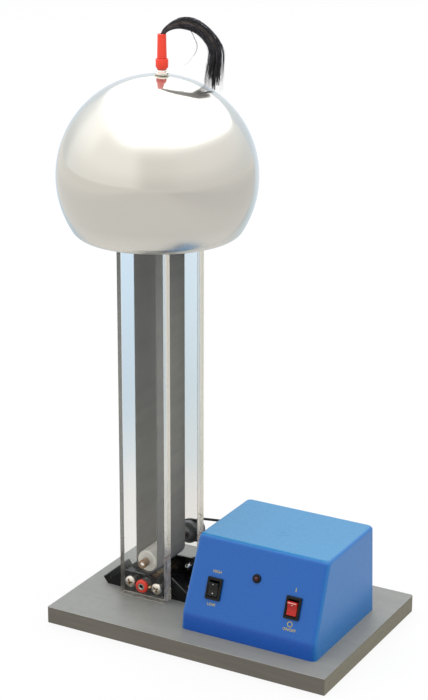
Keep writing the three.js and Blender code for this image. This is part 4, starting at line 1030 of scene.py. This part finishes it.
def loop_path(cx0, cz0, r0, cx1, cz1, r1, n):
    """Outline of an open belt round two circles."""
    dx, dz = cx1 - cx0, cz1 - cz0
    d, phi = math.hypot(dx, dz), math.atan2(dz, dx)
    beta = math.acos((r0 - r1) / d)
    pts = [(cx0 + r0 * math.cos(phi + beta + (2 * math.pi - 2 * beta) * i / n), cz0 + r0 * math.sin(phi + beta + (2 * math.pi - 2 * beta) * i / n)) for i in range(n + 1)]
    pts += [(cx1 + r1 * math.cos(phi - beta + 2 * beta * i / n), cz1 + r1 * math.sin(phi - beta + 2 * beta * i / n)) for i in range(n + 1)]
    return pts


def belts():
    # the flat belt: a rounded strip carried round both rollers, its long runs cut into steps
    path = loop_path(AX, LOW_Z, BELT_R + BELT_T / 2, AX, UP_Z, BELT_R + BELT_T / 2, 32)
    dense = []
    for i, (x, z) in enumerate(path):
        x2, z2 = path[(i + 1) % len(path)]
        k = max(1, int(math.hypot(x2 - x, z2 - z) / 8))
        dense += [(x + (x2 - x) * j / k, z + (z2 - z) * j / k) for j in range(k)]
    N = len(dense)
    h, w = BELT_T / 2 - 0.02, (BELT_Y1 - BELT_Y0) / 2
    sec = [(-w + 0.25, -h), (w - 0.25, -h), (w, -h + 0.22), (w, h - 0.22), (w - 0.25, h), (-w + 0.25, h), (-w, h - 0.22), (-w, -h + 0.22)]
    verts, faces = [], []
    for i, (x, z) in enumerate(dense):
        xa, za = dense[i - 1]
        xb, zb = dense[(i + 1) % N]
        t = Vector((xb - xa, zb - za)).normalized()
        for y, o in sec:
            verts.append((x + t.y * o, AY + y, z - t.x * o))
    m = len(sec)
    for i in range(N):
        j = (i + 1) % N
        for k in range(m):
            faces.append([i * m + k, i * m + (k + 1) % m, j * m + (k + 1) % m, j * m + k])
    ob = build("flat_belt", verts, faces)
    # the faces inside the loop, between the two runs, take the copy painted lighter for the shade there
    paint(ob, [M["belt_rubber"], M["belt_inside_painted_light"]], lambda c, n: 1 if LOW_Z < c.z < UP_Z and n.x * (AX - c.x) > 0.5 else 0)
    finish_piece(ob, "base", "charging_belt", 40)

    path = loop_path(AX, LOW_Z, 11.3, MX, MZ, 5.2, 40)
    ob = tube("round_belt", [(x, DRIVE_Y, z) for x, z in path], 1.3, 16, True)
    paint(ob, M["cord_rubber"])
    finish_piece(ob, "base", "drive_belt", 60)


# ------------------------------------------------------------------ screws and nuts
def cross_tool(x, y, z, xf, size, width, depth):
    """A tapered cross, point down, in a head whose top is at depth 0."""
    a = size
    out = []
    for k in range(4):
        c, s = math.cos(math.pi / 2 * k), math.sin(math.pi / 2 * k)
        for px, py in ((a, -width), (a, width), (width, width)):
            out.append((px * c - py * s, px * s + py * c))
    n = len(out)
    verts = [(px * 1.05, py * 1.25, 0.6) for px, py in out] + [(px * 0.42, py * 0.45, -depth) for px, py in out]
    faces = [list(range(n)), list(range(n, 2 * n))[::-1]] + [[i, (i + 1) % n, n + (i + 1) % n, n + i] for i in range(n)]
    return build("t", verts, faces, xf @ Matrix.Translation((x, y, z)))


def pan_screws():
    for side, face, flip, turns in (("front", PYF, True, (12, 38)), ("rear", PYR, False, (50, 20))):
      for hand, (x, z), turn in zip(("left", "right"), SCREWS[side], turns):
        node = f"{side}_plate_screw_{hand}"
        xf = axis_y(x, z, face, flip) @ Matrix.Rotation(math.radians(turn), 4, "Z")
        prof = [(0, -20.6), (1.7, -20.6), (2.2, -20.0), (2.2, 0.02), (5.4, 0.02), (5.7, 0.35)]
        prof += [(5.7 * math.cos(t), 0.9 + 2.5 * math.sin(t)) for t in [math.radians(a) for a in range(0, 90, 9)]] + [(0, 3.4)]
        ob = lathe(node + "_turned", prof, 64, xf)
        cut(ob, cross_tool(0, 0, 3.1, xf, 3.6, 0.80, 2.3))
        inv = xf.inverted()

        def dome_at(r):
            return 0.9 + 2.5 * math.sqrt(max(0.0, 1 - (r / 5.7) ** 2))

        def pick(c, n, inv=inv, xf=xf):
            p = inv @ Vector(c)
            r = math.hypot(p.x, p.y)
            q = Vector(n)
            out = (xf.to_3x3().inverted() @ q)
            return 1 if 0.6 < p.z < 3.35 and r < 3.9 and (out.z < 0.55 or p.z < 1.9) and p.z < dome_at(r) - 0.06 else 0

        paint(ob, [M["nickel_heads"], M["yellow_zinc"]], pick)
        finish_piece(ob, "base", node, 30)
    for side, face, flip in (("front", BY0 + 2, False), ("rear", BY1 - 2, True)):
      for hand, (x, z) in zip(("left", "right"), SCREWS[side]):
        node = f"{side}_flange_nut_{hand}"
        xf = axis_y(x, z, face, flip)
        hexa = [(4.3 * math.cos(math.radians(60 * k + 30)), 4.3 * math.sin(math.radians(60 * k + 30))) for k in range(6)]
        ob = prism(node + "_nut", hexa, 0.1, 3.7, xf)
        cone = lathe("t", [(0, -1), (6, -1), (6, 2.4), (3.9, 3.75), (0, 3.75)], 48, xf)
        m = ob.modifiers.new("cut", "BOOLEAN")
        m.operation, m.solver, m.object = "INTERSECT", "EXACT", cone
        settle(ob)
        bpy.data.objects.remove(cone)
        cap = lathe("t", [(0, 2.5), (3.6, 2.5), (3.6, 4.0)] + [(3.6 * math.cos(math.radians(a)), 4.0 + 3.5 * math.sin(math.radians(a))) for a in range(10, 90, 10)] + [(0, 7.5)], 48, xf)
        cut(ob, cap, op="UNION")
        soften(ob, 0.15, 2, 35)
        paint(ob, M["nickel_dull"])
        finish_piece(ob, "base", node, 30)
    for node, x, turn in (("bracket_screw_left", FLOOR_X[0], 20), ("bracket_screw_right", FLOOR_X[1], 65)):
        z = TOP + 2.3
        xf = axis_z(x, FLOOR_Y, z) @ Matrix.Rotation(math.radians(turn), 4, "Z")
        prof = [(0, -14), (1.8, -13), (1.8, -0.2), (4.2, -0.2), (4.3, 0.2)]
        prof += [(4.3 * math.cos(math.radians(a)), 0.6 + 2.0 * math.sin(math.radians(a))) for a in range(0, 90, 9)] + [(0, 2.6)]
        ob = lathe(node + "_turned", prof, 56, xf)
        cut(ob, cross_tool(0, 0, 2.45, xf, 2.3, 0.5, 1.6))
        paint(ob, M["yellow_zinc"])
        finish_piece(ob, "base", node, 30)


# ------------------------------------------------------------------ earth socket and combs
def socket_and_combs():
    f = PYF
    prof = [(3.75, f - 3.0), (5.2, f - 3.0)]
    prof += [(5.2 + 1.45 * math.sin(math.radians(a)), f - 3.0 + 1.5 * (1 - math.cos(math.radians(a)))) for a in (20, 40, 60, 80, 90)]
    prof += [(6.7, f - 0.4), (6.6, f + 0.02), (4.5, f + 0.02), (4.5, YF1 + 3.2), (3.75, YF1 + 3.2)]
    ob = lathe("socket_ring_moulded", prof, 72, axis_y(SOCKET_X, SOCKET_Z), ring=True)
    # the thread behind the rim is pale, and only the rim in front of the plate is red
    paint(ob, [M["red_socket"], M["grey_thread"]], lambda c, n: 1 if c.y > f - 0.2 and math.hypot(c.x - SOCKET_X, c.z - SOCKET_Z) < 4.7 else 0)
    finish_piece(ob, "base", "earth_socket_ring", 30)
    ob = lathe("socket_contact_turned", [(2.0, f - 2.5), (2.25, f - 2.8), (3.45, f - 2.8), (3.65, f - 2.5), (3.65, YF1), (3.45, YF1 + 0.2), (3.45, AY - 17.3), (2.0, AY - 17.3)], 56,
               axis_y(SOCKET_X, SOCKET_Z), ring=True)
    # the inside of the contact's bore is painted near black as painted shade in the hole
    paint(ob, [M["nickel"], M["bore_painted_shade"]], lambda c, n: 1 if math.hypot(c.x - SOCKET_X, c.z - SOCKET_Z) < 2.12 and c.y > f - 2.3 else 0)
    finish_piece(ob, "base", "earth_socket_contact", 30)


# ------------------------------------------------------------------ CAD nodes that keep their shape
def kept():
    plan = {
        "lower_comb": ("brass", 0.12), "upper_comb": ("brass", 0.12), "top_bridge": ("aluminium", 0.6),
        "motor_body": ("motor_can", 0.5), "motor_bracket": ("steel", 0.4), "control_board": ("circuit_board", 0.3),
        "board_spacer_left": ("white_nylon", 0.2), "board_spacer_right": ("white_nylon", 0.2),
        "inlet_pin_left": ("nickel", 0.35), "inlet_pin_right": ("nickel", 0.35), "inlet_pin_earth": ("nickel", 0.35),
        "dome_socket_nut": ("nickel", 0.3),
    }
    for node, (mat, width) in plan.items():
        ob = frame["nodes"][node]
        ob.data.materials.clear()
        ob.data.materials.append(M[mat])
        m = ob.modifiers.new("soften", "BEVEL")
        m.width, m.segments, m.limit_method, m.angle_limit = width * MM, 2, "ANGLE", math.radians(40)
        m.use_clamp_overlap = True
        m = ob.modifiers.new("normals", "WEIGHTED_NORMAL")
        m.mode, m.weight, m.keep_sharp = "FACE_AREA", 100, True
        ob.data.polygons.foreach_set("use_smooth", [True] * len(ob.data.polygons))
        ob.data.set_sharp_from_angle(angle=math.radians(40))


# ------------------------------------------------------------------ top of the column
def column_top():
    z = PTOP + 0.3
    s = z + 6.3
    prof = [(9, s), (16, s), (16, s + 3), (12.8, s + 4), (12, s + 5), (12, 505)]
    prof += [(12 + 20 * t + 0.9 * math.sin(math.pi * t), 505 + 10.5 * t ** 1.15) for t in (0.1, 0.2, 0.3, 0.4, 0.5, 0.6, 0.7, 0.8, 0.9)]
    prof += [(32, 515.5), (33.6, 516.8), (34, 517.8), (34, 519.6), (33.6, 520.5), (32.8, 520.9), (32.0, 520.7), (31.4, 520.2), (12, 510), (10, 509.2), (9, 508.5)]
    ob = lathe("dome_seat_spun", prof, 96, axis_z(DX, DY), ring=True)
    soften(ob, 0.3, 2, 35)
    paint(ob, M["aluminium"])
    finish_piece(ob, "base", "dome_seat")
    for node, y in (("top_screw_front", (PYF + YF1) / 2), ("top_screw_rear", (YR0 + PYR) / 2)):
        h = z + 6.3
        xf = axis_z(AX, y, h)
        prof = [(0, -19), (1.7, -18.4), (1.7, -0.2), (3.6, -0.2), (3.65, 0.4)] + [(3.65 * math.cos(math.radians(a)), 0.6 + 1.9 * math.sin(math.radians(a))) for a in range(0, 90, 10)] + [(0, 2.5)]
        ob = lathe(node + "_turned", prof, 48, xf)
        cut(ob, cross_tool(0, 0, 2.35, xf, 2.0, 0.45, 1.5))
        paint(ob, M["steel"])
        finish_piece(ob, "base", node, 30)
    for node, x, y in (("housing_screw_front_left", -4.8, -65.5), ("housing_screw_rear_right", 118.7, 43.7)):
        xf = axis_z(x, y) @ Matrix.Rotation(math.pi, 4, "X")
        prof = [(0, -31), (1.6, -30), (1.6, -3.3), (3.6, -2.2), (3.6, -1.2)] + [(3.6 * math.cos(math.radians(a)), -1.2 + 0.6 * math.sin(math.radians(a))) for a in range(10, 90, 10)] + [(0, -0.6)]
        ob = lathe(node + "_turned", prof, 48, xf)
        cut(ob, cross_tool(0, 0, -0.65, xf, 2.0, 0.45, 1.4))
        paint(ob, M["steel"])
        finish_piece(ob, "base", node, 30)


# ------------------------------------------------------------------ mains inlet
def inlet():
    m = on_back(98, 24)
    ob = prism("inlet_moulding", rounded(-15.5, 15.5, -12, 12, 2.2, 6), 0.05, 2.3, m)
    cut(ob, block("t", -13.2, 13.2, -9.5, 9.5, -17, 1.0, m), op="UNION")
    rec = [(-11.7, -7.8), (11.7, -7.8), (11.7, 3.6), (7.6, 7.8), (-7.6, 7.8), (-11.7, 3.6)]
    cut(ob, prism("t", rec, -14, 6, m))
    for x, y in ((-7, -2), (7, -2), (0, 3)):
        cut(ob, block("t", x - 1.3, x + 1.3, y - 2.3, y + 2.3, -17.5, -13, m))
    soften(ob, 0.45, 2, 40)
    paint(ob, M["black_plastic"])
    finish_piece(ob, "base", "mains_inlet", 35, True)


# ------------------------------------------------------------------ indicator
def indicator():
    m = on_panel(LED_X, LED_S)
    prof = [(2.35, -7), (3.1, -7), (3.1, 0.05), (4.1, 0.05), (4.3, 0.3)]
    prof += [(4.3 - 1.3 * (1 - math.cos(math.radians(a))), 0.9 + 1.0 * math.sin(math.radians(a))) for a in (10, 30, 50, 70, 90)] + [(2.6, 1.9), (2.35, 1.6)]
    ob = lathe("indicator_collar", prof, 64, m, ring=True)
    paint(ob, M["black_plastic"])
    finish_piece(ob, "base", "indicator_bezel", 35)
    prof = [(0, -9), (2.05, -9), (2.25, 1.4)] + [(2.25 * math.cos(math.radians(a)), 1.5 + 1.7 * math.sin(math.radians(a))) for a in range(10, 90, 10)] + [(0, 3.2)]
    ob = lathe("indicator_dome", prof, 48, m)
    paint(ob, M["dark_lens"])
    finish_piece(ob, "base", "indicator_lens", 35)


# ------------------------------------------------------------------ rockers
def rocker(tag, x, key_mat, body, bezel_node, key_node, pips, bar=False):
    m = on_panel(x, ROCKER_S)
    cw, cl = 5.3, 7.95
    ob = prism(tag + "_bezel", rounded(-7.85, 7.85, -10.6, 10.6, 1.0, 6), 0.05, 2.2, m)
    soften(ob, 0.55, 3, 40)
    inner = block("t", -cw, cw, -cl, cl, -8.5, 6, m)
    # a step round the opening, where the frame's inner edge is set back
    step = prism("t", rounded(-cw - 0.75, cw + 0.75, -cl - 0.75, cl + 0.75, 0.6, 4), 1.75, 6, m)
    cut(ob, block("t", -6.4, 6.4, -9.4, 9.4, -17, 1.0, m), op="UNION")
    cut(ob, inner, step)
    pin = lathe("t", [(0, -cw - 0.85), (1.2, -cw - 0.85), (1.2, cw + 0.85), (0, cw + 0.85)], 24, m @ Matrix.Translation((0, 0, PIVOT)) @ Matrix.Rotation(math.pi / 2, 4, "Y"))
    cut(ob, pin)
    paint(ob, M["black_plastic"])
    finish_piece(ob, "base", bezel_node, 32, True)

    h = 6.6
    end = [(h - 0.9 + 0.9 * math.cos(math.radians(a)), 2.85 + 0.9 * math.sin(math.radians(a))) for a in (0, 20, 40, 60, 80)]
    prof = [(-h - 0.15, 1.2), (-5.6, -2.4), (-2.2, -4.4), (2.2, -4.4), (5.6, -2.4), (h + 0.15, 1.2)] + end
    n = 12
    prof += [(h - 0.7 - (2 * h - 1.4) * k / n, 2.3 + 1.45 * abs(1 - 2 * k / n) ** 1.25) for k in range(1, n)] + [(-y, z) for y, z in end[::-1]]
    km = m @ Matrix.Translation((0, 0, PIVOT)) @ Matrix.Rotation(math.radians(10), 4, "X") @ Matrix.Translation((0, 0, -PIVOT))
    # profile is drawn in local Y and Z and runs along local X
    turn = km @ Matrix(((0, 0, 1, 0), (1, 0, 0, 0), (0, 1, 0, 0), (0, 0, 0, 1)))
    ob = prism(tag + "_key", prof, -4.95, 4.95, turn)
    soften(ob, 0.35, 3, 50)
    axle = lathe("t", [(0, -5.8), (0.9, -5.8), (0.9, 5.8), (0, 5.8)], 24, km @ Matrix.Translation((0, 0, PIVOT)) @ Matrix.Rotation(math.pi / 2, 4, "Y"))
    cut(ob, axle, op="UNION")
    paint(ob, key_mat)
    finish_piece(ob, body, key_node, 30, True)
    if bar:
        # a pale ribbed bar across the raised end
        for k in range(8):
            x = -3.85 + 1.1 * k
            ob = prism(f"{tag}_bar_{k}", rounded(x - 0.47, x + 0.47, 5.0, 6.1, 0.2, 3), 3.2, 3.72, km)
            paint(ob, M["key_bar"])
            finish_piece(ob, body, ())
    for k, y in enumerate(pips):
        z = 2.3 + 1.45 * (abs(y) / 5.9) ** 1.25
        lean = math.copysign(math.atan(1.45 * 1.25 / 5.9 * (abs(y) / 5.9) ** 0.25), y)
        at = km @ Matrix.Translation((0, y, z)) @ Matrix.Rotation(lean, 4, "X")
        ob = lathe(tag + "_pip_" + "ab"[k], [(0, -0.3), (0.55, -0.3), (0.55, 0.03), (0.42, 0.08), (0, 0.08)], 24, at)
        paint(ob, M["pale_inlay"])
        finish_piece(ob, body, ())


def rockers():
    rocker("speed_switch", ROCKER_X[0], M["black_key"], "speed_key", "speed_rocker_bezel", "speed_rocker", (5.2, -3.6))
    rocker("power_switch", ROCKER_X[1], M["red_key"], "power_key", "power_rocker_bezel", "power_rocker", (3.4,), True)


# ------------------------------------------------------------------ dome
def dome():
    R, t, flat, rc, lip, ml = DR, 1.5, 57.0, 16.0, 4.0, 64.0
    pc = math.sqrt((R - rc) ** 2 - (flat - rc) ** 2)
    zc = -(flat - rc)
    aT = math.atan2(zc, pc)
    outer = []
    n = 72
    for i in range(n + 1):
        a = math.pi / 2 + (aT - math.pi / 2) * i / n
        outer.append((0.0 if i == 0 else R * math.cos(a), R * math.sin(a)))
    for i in range(1, 17):
        a = aT + (-math.pi / 2 - aT) * i / 16
        outer.append((pc + rc * math.cos(a), zc + rc * math.sin(a)))
    for i in range(1, 13):
        a = -math.pi / 2 - math.pi * 0.86 * i / 12
        outer.append((ml + lip * math.cos(a), -flat + lip + lip * math.sin(a)))
    inner = []
    for i, (r, h) in enumerate(outer):
        ra, ha = outer[max(0, i - 1)]
        rb, hb = outer[min(len(outer) - 1, i + 1)]
        l = math.hypot(rb - ra, hb - ha)
        inner.append((0.0, h - t) if i == 0 else (r + (hb - ha) / l * t, h - (rb - ra) / l * t))
    prof = outer + inner[::-1]
    ob = lathe("dome_spun", prof, 192, axis_z(DX, DY, DZ))
    paint(ob, M["mirror_dome"])
    finish_piece(ob, "dome", "dome_shell", 50)

    s = DTOP
    prof = [(2.3, s - 16), (3.9, s - 16), (3.9, s + 0.05), (6.2, s + 0.05), (6.7, s + 0.4), (6.95, s + 0.9), (6.95, s + 2.1), (6.7, s + 2.6), (6.2, s + 2.9),
            (4.9, s + 2.9), (4.9, s + 4.2), (4.5, s + 4.6), (2.5, s + 4.6), (2.3, s + 4.4)]
    ob = lathe("dome_socket_turned", prof, 72, axis_z(SX, SY), ring=True)
    soften(ob, 0.15, 2, 35)
    paint(ob, M["nickel_bright"])
    finish_piece(ob, "dome", "dome_socket", 32)


# ------------------------------------------------------------------ plug with its plume
def plug():
    s = DTOP + 4.9
    xf = axis_z(SX, SY)
    prof = [(0, s - 19.5), (1.2, s - 19.5), (1.95, s - 18.6), (1.95, s - 14), (2.12, s - 12), (2.18, s - 9), (2.12, s - 6), (1.95, s - 4), (1.95, s + 11), (0, s + 11)]
    ob = lathe("plug_pin_turned", prof, 40, xf)
    paint(ob, M["nickel_bright"])
    finish_piece(ob, "plume", "plug_pin", 32)

    # body with fine flutes
    prof = [(2.3, s), (4.1, s), (4.4, s + 0.25), (5.65, s + 2.1), (5.85, s + 2.6), (5.85, s + 9.0), (5.7, s + 9.55), (5.3, s + 9.9), (2.3, s + 9.9)]
    n = 120
    verts, faces, rows = [], [], []
    for r, h in prof:
        rows.append(list(range(len(verts), len(verts) + n)))
        for i in range(n):
            a = 2 * math.pi * i / n
            k = r - (0.16 * (0.5 + 0.5 * math.cos(20 * a)) if r > 5.6 else 0)
            verts.append((k * math.cos(a), k * math.sin(a), h))
    for a, b in list(zip(rows, rows[1:])) + [(rows[-1], rows[0])]:
        faces += [[a[i], a[(i + 1) % n], b[(i + 1) % n], b[i]] for i in range(n)]
    ob = build("plug_body_moulded", verts, faces, xf)
    paint(ob, M["red_plastic"])
    finish_piece(ob, "plume", "plug_body", 32)

    # ribbed sleeve
    prof = [(0, s + 11.4), (2.3, s + 11.4), (2.5, s + 10.2), (4.3, s + 10.2), (4.55, s + 10.5)]
    z = 11.6
    while z < 30.2:
        r = 4.55 - 0.5 * (z - 10.2) / 23
        prof += [(r, s + z), (r - 0.16, s + z + 0.35), (r - 0.16, s + z + 0.75), (r - 0.02, s + z + 1.1)]
        z += 1.62
    prof += [(4.06, s + 31.6), (3.9, s + 32.2), (3.6, s + 32.4), (2.2, s + 32.4), (2.0, s + 31.6), (0, s + 31.6)]
    ob = lathe("plug_sleeve_moulded", prof, 64, xf)
    paint(ob, M["red_plastic"])
    finish_piece(ob, "plume", "plug_sleeve", 50)


LINE = [
    (0.9, 564.8, 1.7, 1.7), (3.0, 568.7, 1.9, 2.0), (7.4, 571.9, 2.4, 2.5), (12.6, 574.2, 3.2, 3.1), (19.0, 575.6, 4.3, 3.9), (27.2, 574.3, 4.9, 4.6),
    (35.3, 570.0, 4.8, 5.0), (42.1, 563.5, 4.8, 5.2), (46.7, 556.8, 5.2, 5.6), (49.2, 549.4, 5.9, 6.0),
    (48.9, 541.0, 6.3, 6.3), (47.6, 531.8, 6.9, 6.6), (46.9, 522.2, 7.4, 6.8), (46.7, 511.0, 7.7, 6.6),
]
# the bundle gathers into locks towards its ends: place in the section, and where each one ends
LOCKS = [(-0.78, 0.25, 0.885), (-0.55, -0.60, 0.905), (-0.30, 0.75, 0.90), (-0.08, -0.10, 0.965), (0.10, -0.85, 0.955), (0.22, 0.62, 0.975),
         (0.50, -0.30, 0.945), (0.62, 0.70, 0.925), (0.85, 0.10, 0.93), (0.72, -0.75, 0.94)]


def catmull(pts, t):
    n = len(pts) - 1
    x = min(max(t, 0.0), 1.0) * n
    i = min(int(x), n - 1)
    f = x - i
    p0, p1, p2, p3 = pts[max(i - 1, 0)], pts[i], pts[i + 1], pts[min(i + 2, n)]
    return [0.5 * (2 * b + (c - a) * f + (2 * a - 5 * b + 4 * c - d) * f * f + (3 * b - a - 3 * c + d) * f ** 3)
            for a, b, c, d in zip(p0, p1, p2, p3)]


def hair():
    rnd = random.Random(7)
    ca, sa = math.cos(math.radians(29.1)), math.sin(math.radians(29.1))

    def world(a, z, d):
        return (SX + ca * a - sa * d, SY + sa * a + ca * d, z)

    def on_dome(x, y):
        return DZ + math.sqrt(max(0.0, DR ** 2 - (x - DX) ** 2 - (y - DY) ** 2))

    def strand(u, v, end, wild, steps=22, pull=None, dive=0.0):
        """u, v: place in the bundle's section, from -1 to 1."""
        p1, p2, p3 = (rnd.uniform(0, 6.28) for _ in range(3))
        amp = rnd.uniform(0.02, 0.10) + wild * 0.12
        pts = []
        for k in range(steps + 1):
            t = end * k / steps
            a, z, hw, hd = catmull(LINE, t)
            a2, z2 = catmull(LINE, min(1.0, t + 0.01))[:2]
            a1, z1 = catmull(LINE, max(0.0, t - 0.01))[:2]
            l = math.hypot(a2 - a1, z2 - z1) or 1.0
            na, nz = -(z2 - z1) / l, (a2 - a1) / l
            g = min(1.0, t * 5)
            uu = u * (1 + (wild * 0.45 - dive) * t)
            vv = v * (1 + wild * 0.35 * t)
            if pull:
                k2 = 0.62 * min(1.0, max(0.0, (t - 0.55) / 0.4)) ** 1.3
                uu += (pull[0] - uu) * k2
                vv += (pull[1] - vv) * k2
            uu += amp * g * math.sin(5 * t + p1) + 0.05 * g * math.sin(17 * t + p3)
            vv += amp * g * math.sin(6 * t + p2)
            q = world(a + na * hw * uu, z + nz * hw * uu, hd * vv)
            pts.append((q[0], q[1], max(q[2], on_dome(q[0], q[1]) + 0.45)))
        return pts

    def curve(name, strands, radius, mat):
        cu = bpy.data.curves.new(name, "CURVE")
        cu.dimensions = "3D"
        cu.bevel_depth = radius * MM
        cu.bevel_resolution = 1
        cu.use_fill_caps = True
        for pts, thin in strands:
            sp = cu.splines.new("POLY")
            sp.points.add(len(pts) - 1)
            for k, p in enumerate(pts):
                sp.points[k].co = (p[0] * MM, p[1] * MM, p[2] * MM, 1)
                f = k / (len(pts) - 1)
                sp.points[k].radius = thin * (1.0 - 0.75 * max(0.0, (f - 0.7) / 0.3) ** 1.3)
            sp.use_smooth = True
        ob = place(bpy.data.objects.new(name, cu))
        cu.materials.append(mat)
        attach(ob, "plume")
        return ob

    def disc(power=0.5):
        a, r = rnd.uniform(0, 2 * math.pi), rnd.random() ** power
        return r * math.cos(a), r * math.sin(a)

    core = []
    for _ in range(300):
        u, v = disc()
        lock = min(LOCKS, key=lambda q: (q[0] - u) ** 2 + (q[1] - v) ** 2)
        core.append((strand(u * 0.86, v * 0.9, lock[2] - rnd.random() ** 2 * 0.07, 0.0, 22, lock), rnd.uniform(0.7, 1.15)))
    # brown strands, mostly on one side of the bundle: partly brown hair, partly a painted highlight on the lit side of
    # the arc
    brown = []
    for _ in range(130):
        u, v = disc(0.35)
        u = abs(u) * 0.98 if rnd.random() < 0.75 else u
        brown.append((strand(u, v, rnd.uniform(0.66, 0.93), 0.05, 22, None, 0.55), rnd.uniform(0.7, 1.15)))
    fine = []
    for _ in range(70):
        a = rnd.uniform(0, 2 * math.pi)
        fine.append((strand(math.cos(a) * 1.02, math.sin(a), rnd.uniform(0.86, 1.0), rnd.uniform(0.1, 0.5)), rnd.uniform(0.6, 1.2)))
    # pale wisps on the inner side of the tips and along the outside
    for _ in range(46):
        fine.append((strand(rnd.uniform(-1.05, -0.25), rnd.uniform(-0.8, 0.8), rnd.uniform(0.94, 1.0), 0.1), rnd.uniform(0.8, 1.3)))
    for _ in range(26):
        fine.append((strand(rnd.uniform(1.05, 1.30), rnd.uniform(-0.6, 0.6), rnd.uniform(0.70, 0.92), 0.0), rnd.uniform(0.7, 1.2)))
    # one lock that leaves the bundle and hangs inside the arc
    for k in range(7):
        o, d = rnd.uniform(-0.5, 0.5), rnd.uniform(-0.8, 0.8)
        base = strand(-0.9, d * 0.3, 0.34, 0.0, 8)
        loose = [(19.2, 571.9), (26.3, 568.7), (29.5, 562.3), (32.0, 556.5), (31.4, 550.8), (28.8, 546.3)] + ([(24.3, 539.8), (19.8, 537.5)] if k < 2 else [])
        pts = base[:6] + [world(catmull(loose, j / 14)[0] + o * (0.4 + j / 20), catmull(loose, j / 14)[1] + o * 0.4, d) for j in range(15)]
        fine.append((pts, rnd.uniform(0.7, 1.1)))
    ob = curve("plume_core", core, 0.30, M["hair_dark"])
    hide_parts("hair_plume")
    curve("plume_brown_painted_highlight", brown, 0.20, M["hair_brown_painted_highlight"])
    curve("plume_fine", fine, 0.10, M["hair_fine"])


board()
housing()
marks()
plates()
bracket()
bushes()
rollers()
pulleys()
belts()
pan_screws()
socket_and_combs()
kept()
column_top()
inlet()
indicator()
rockers()
dome()
plug()
hair()
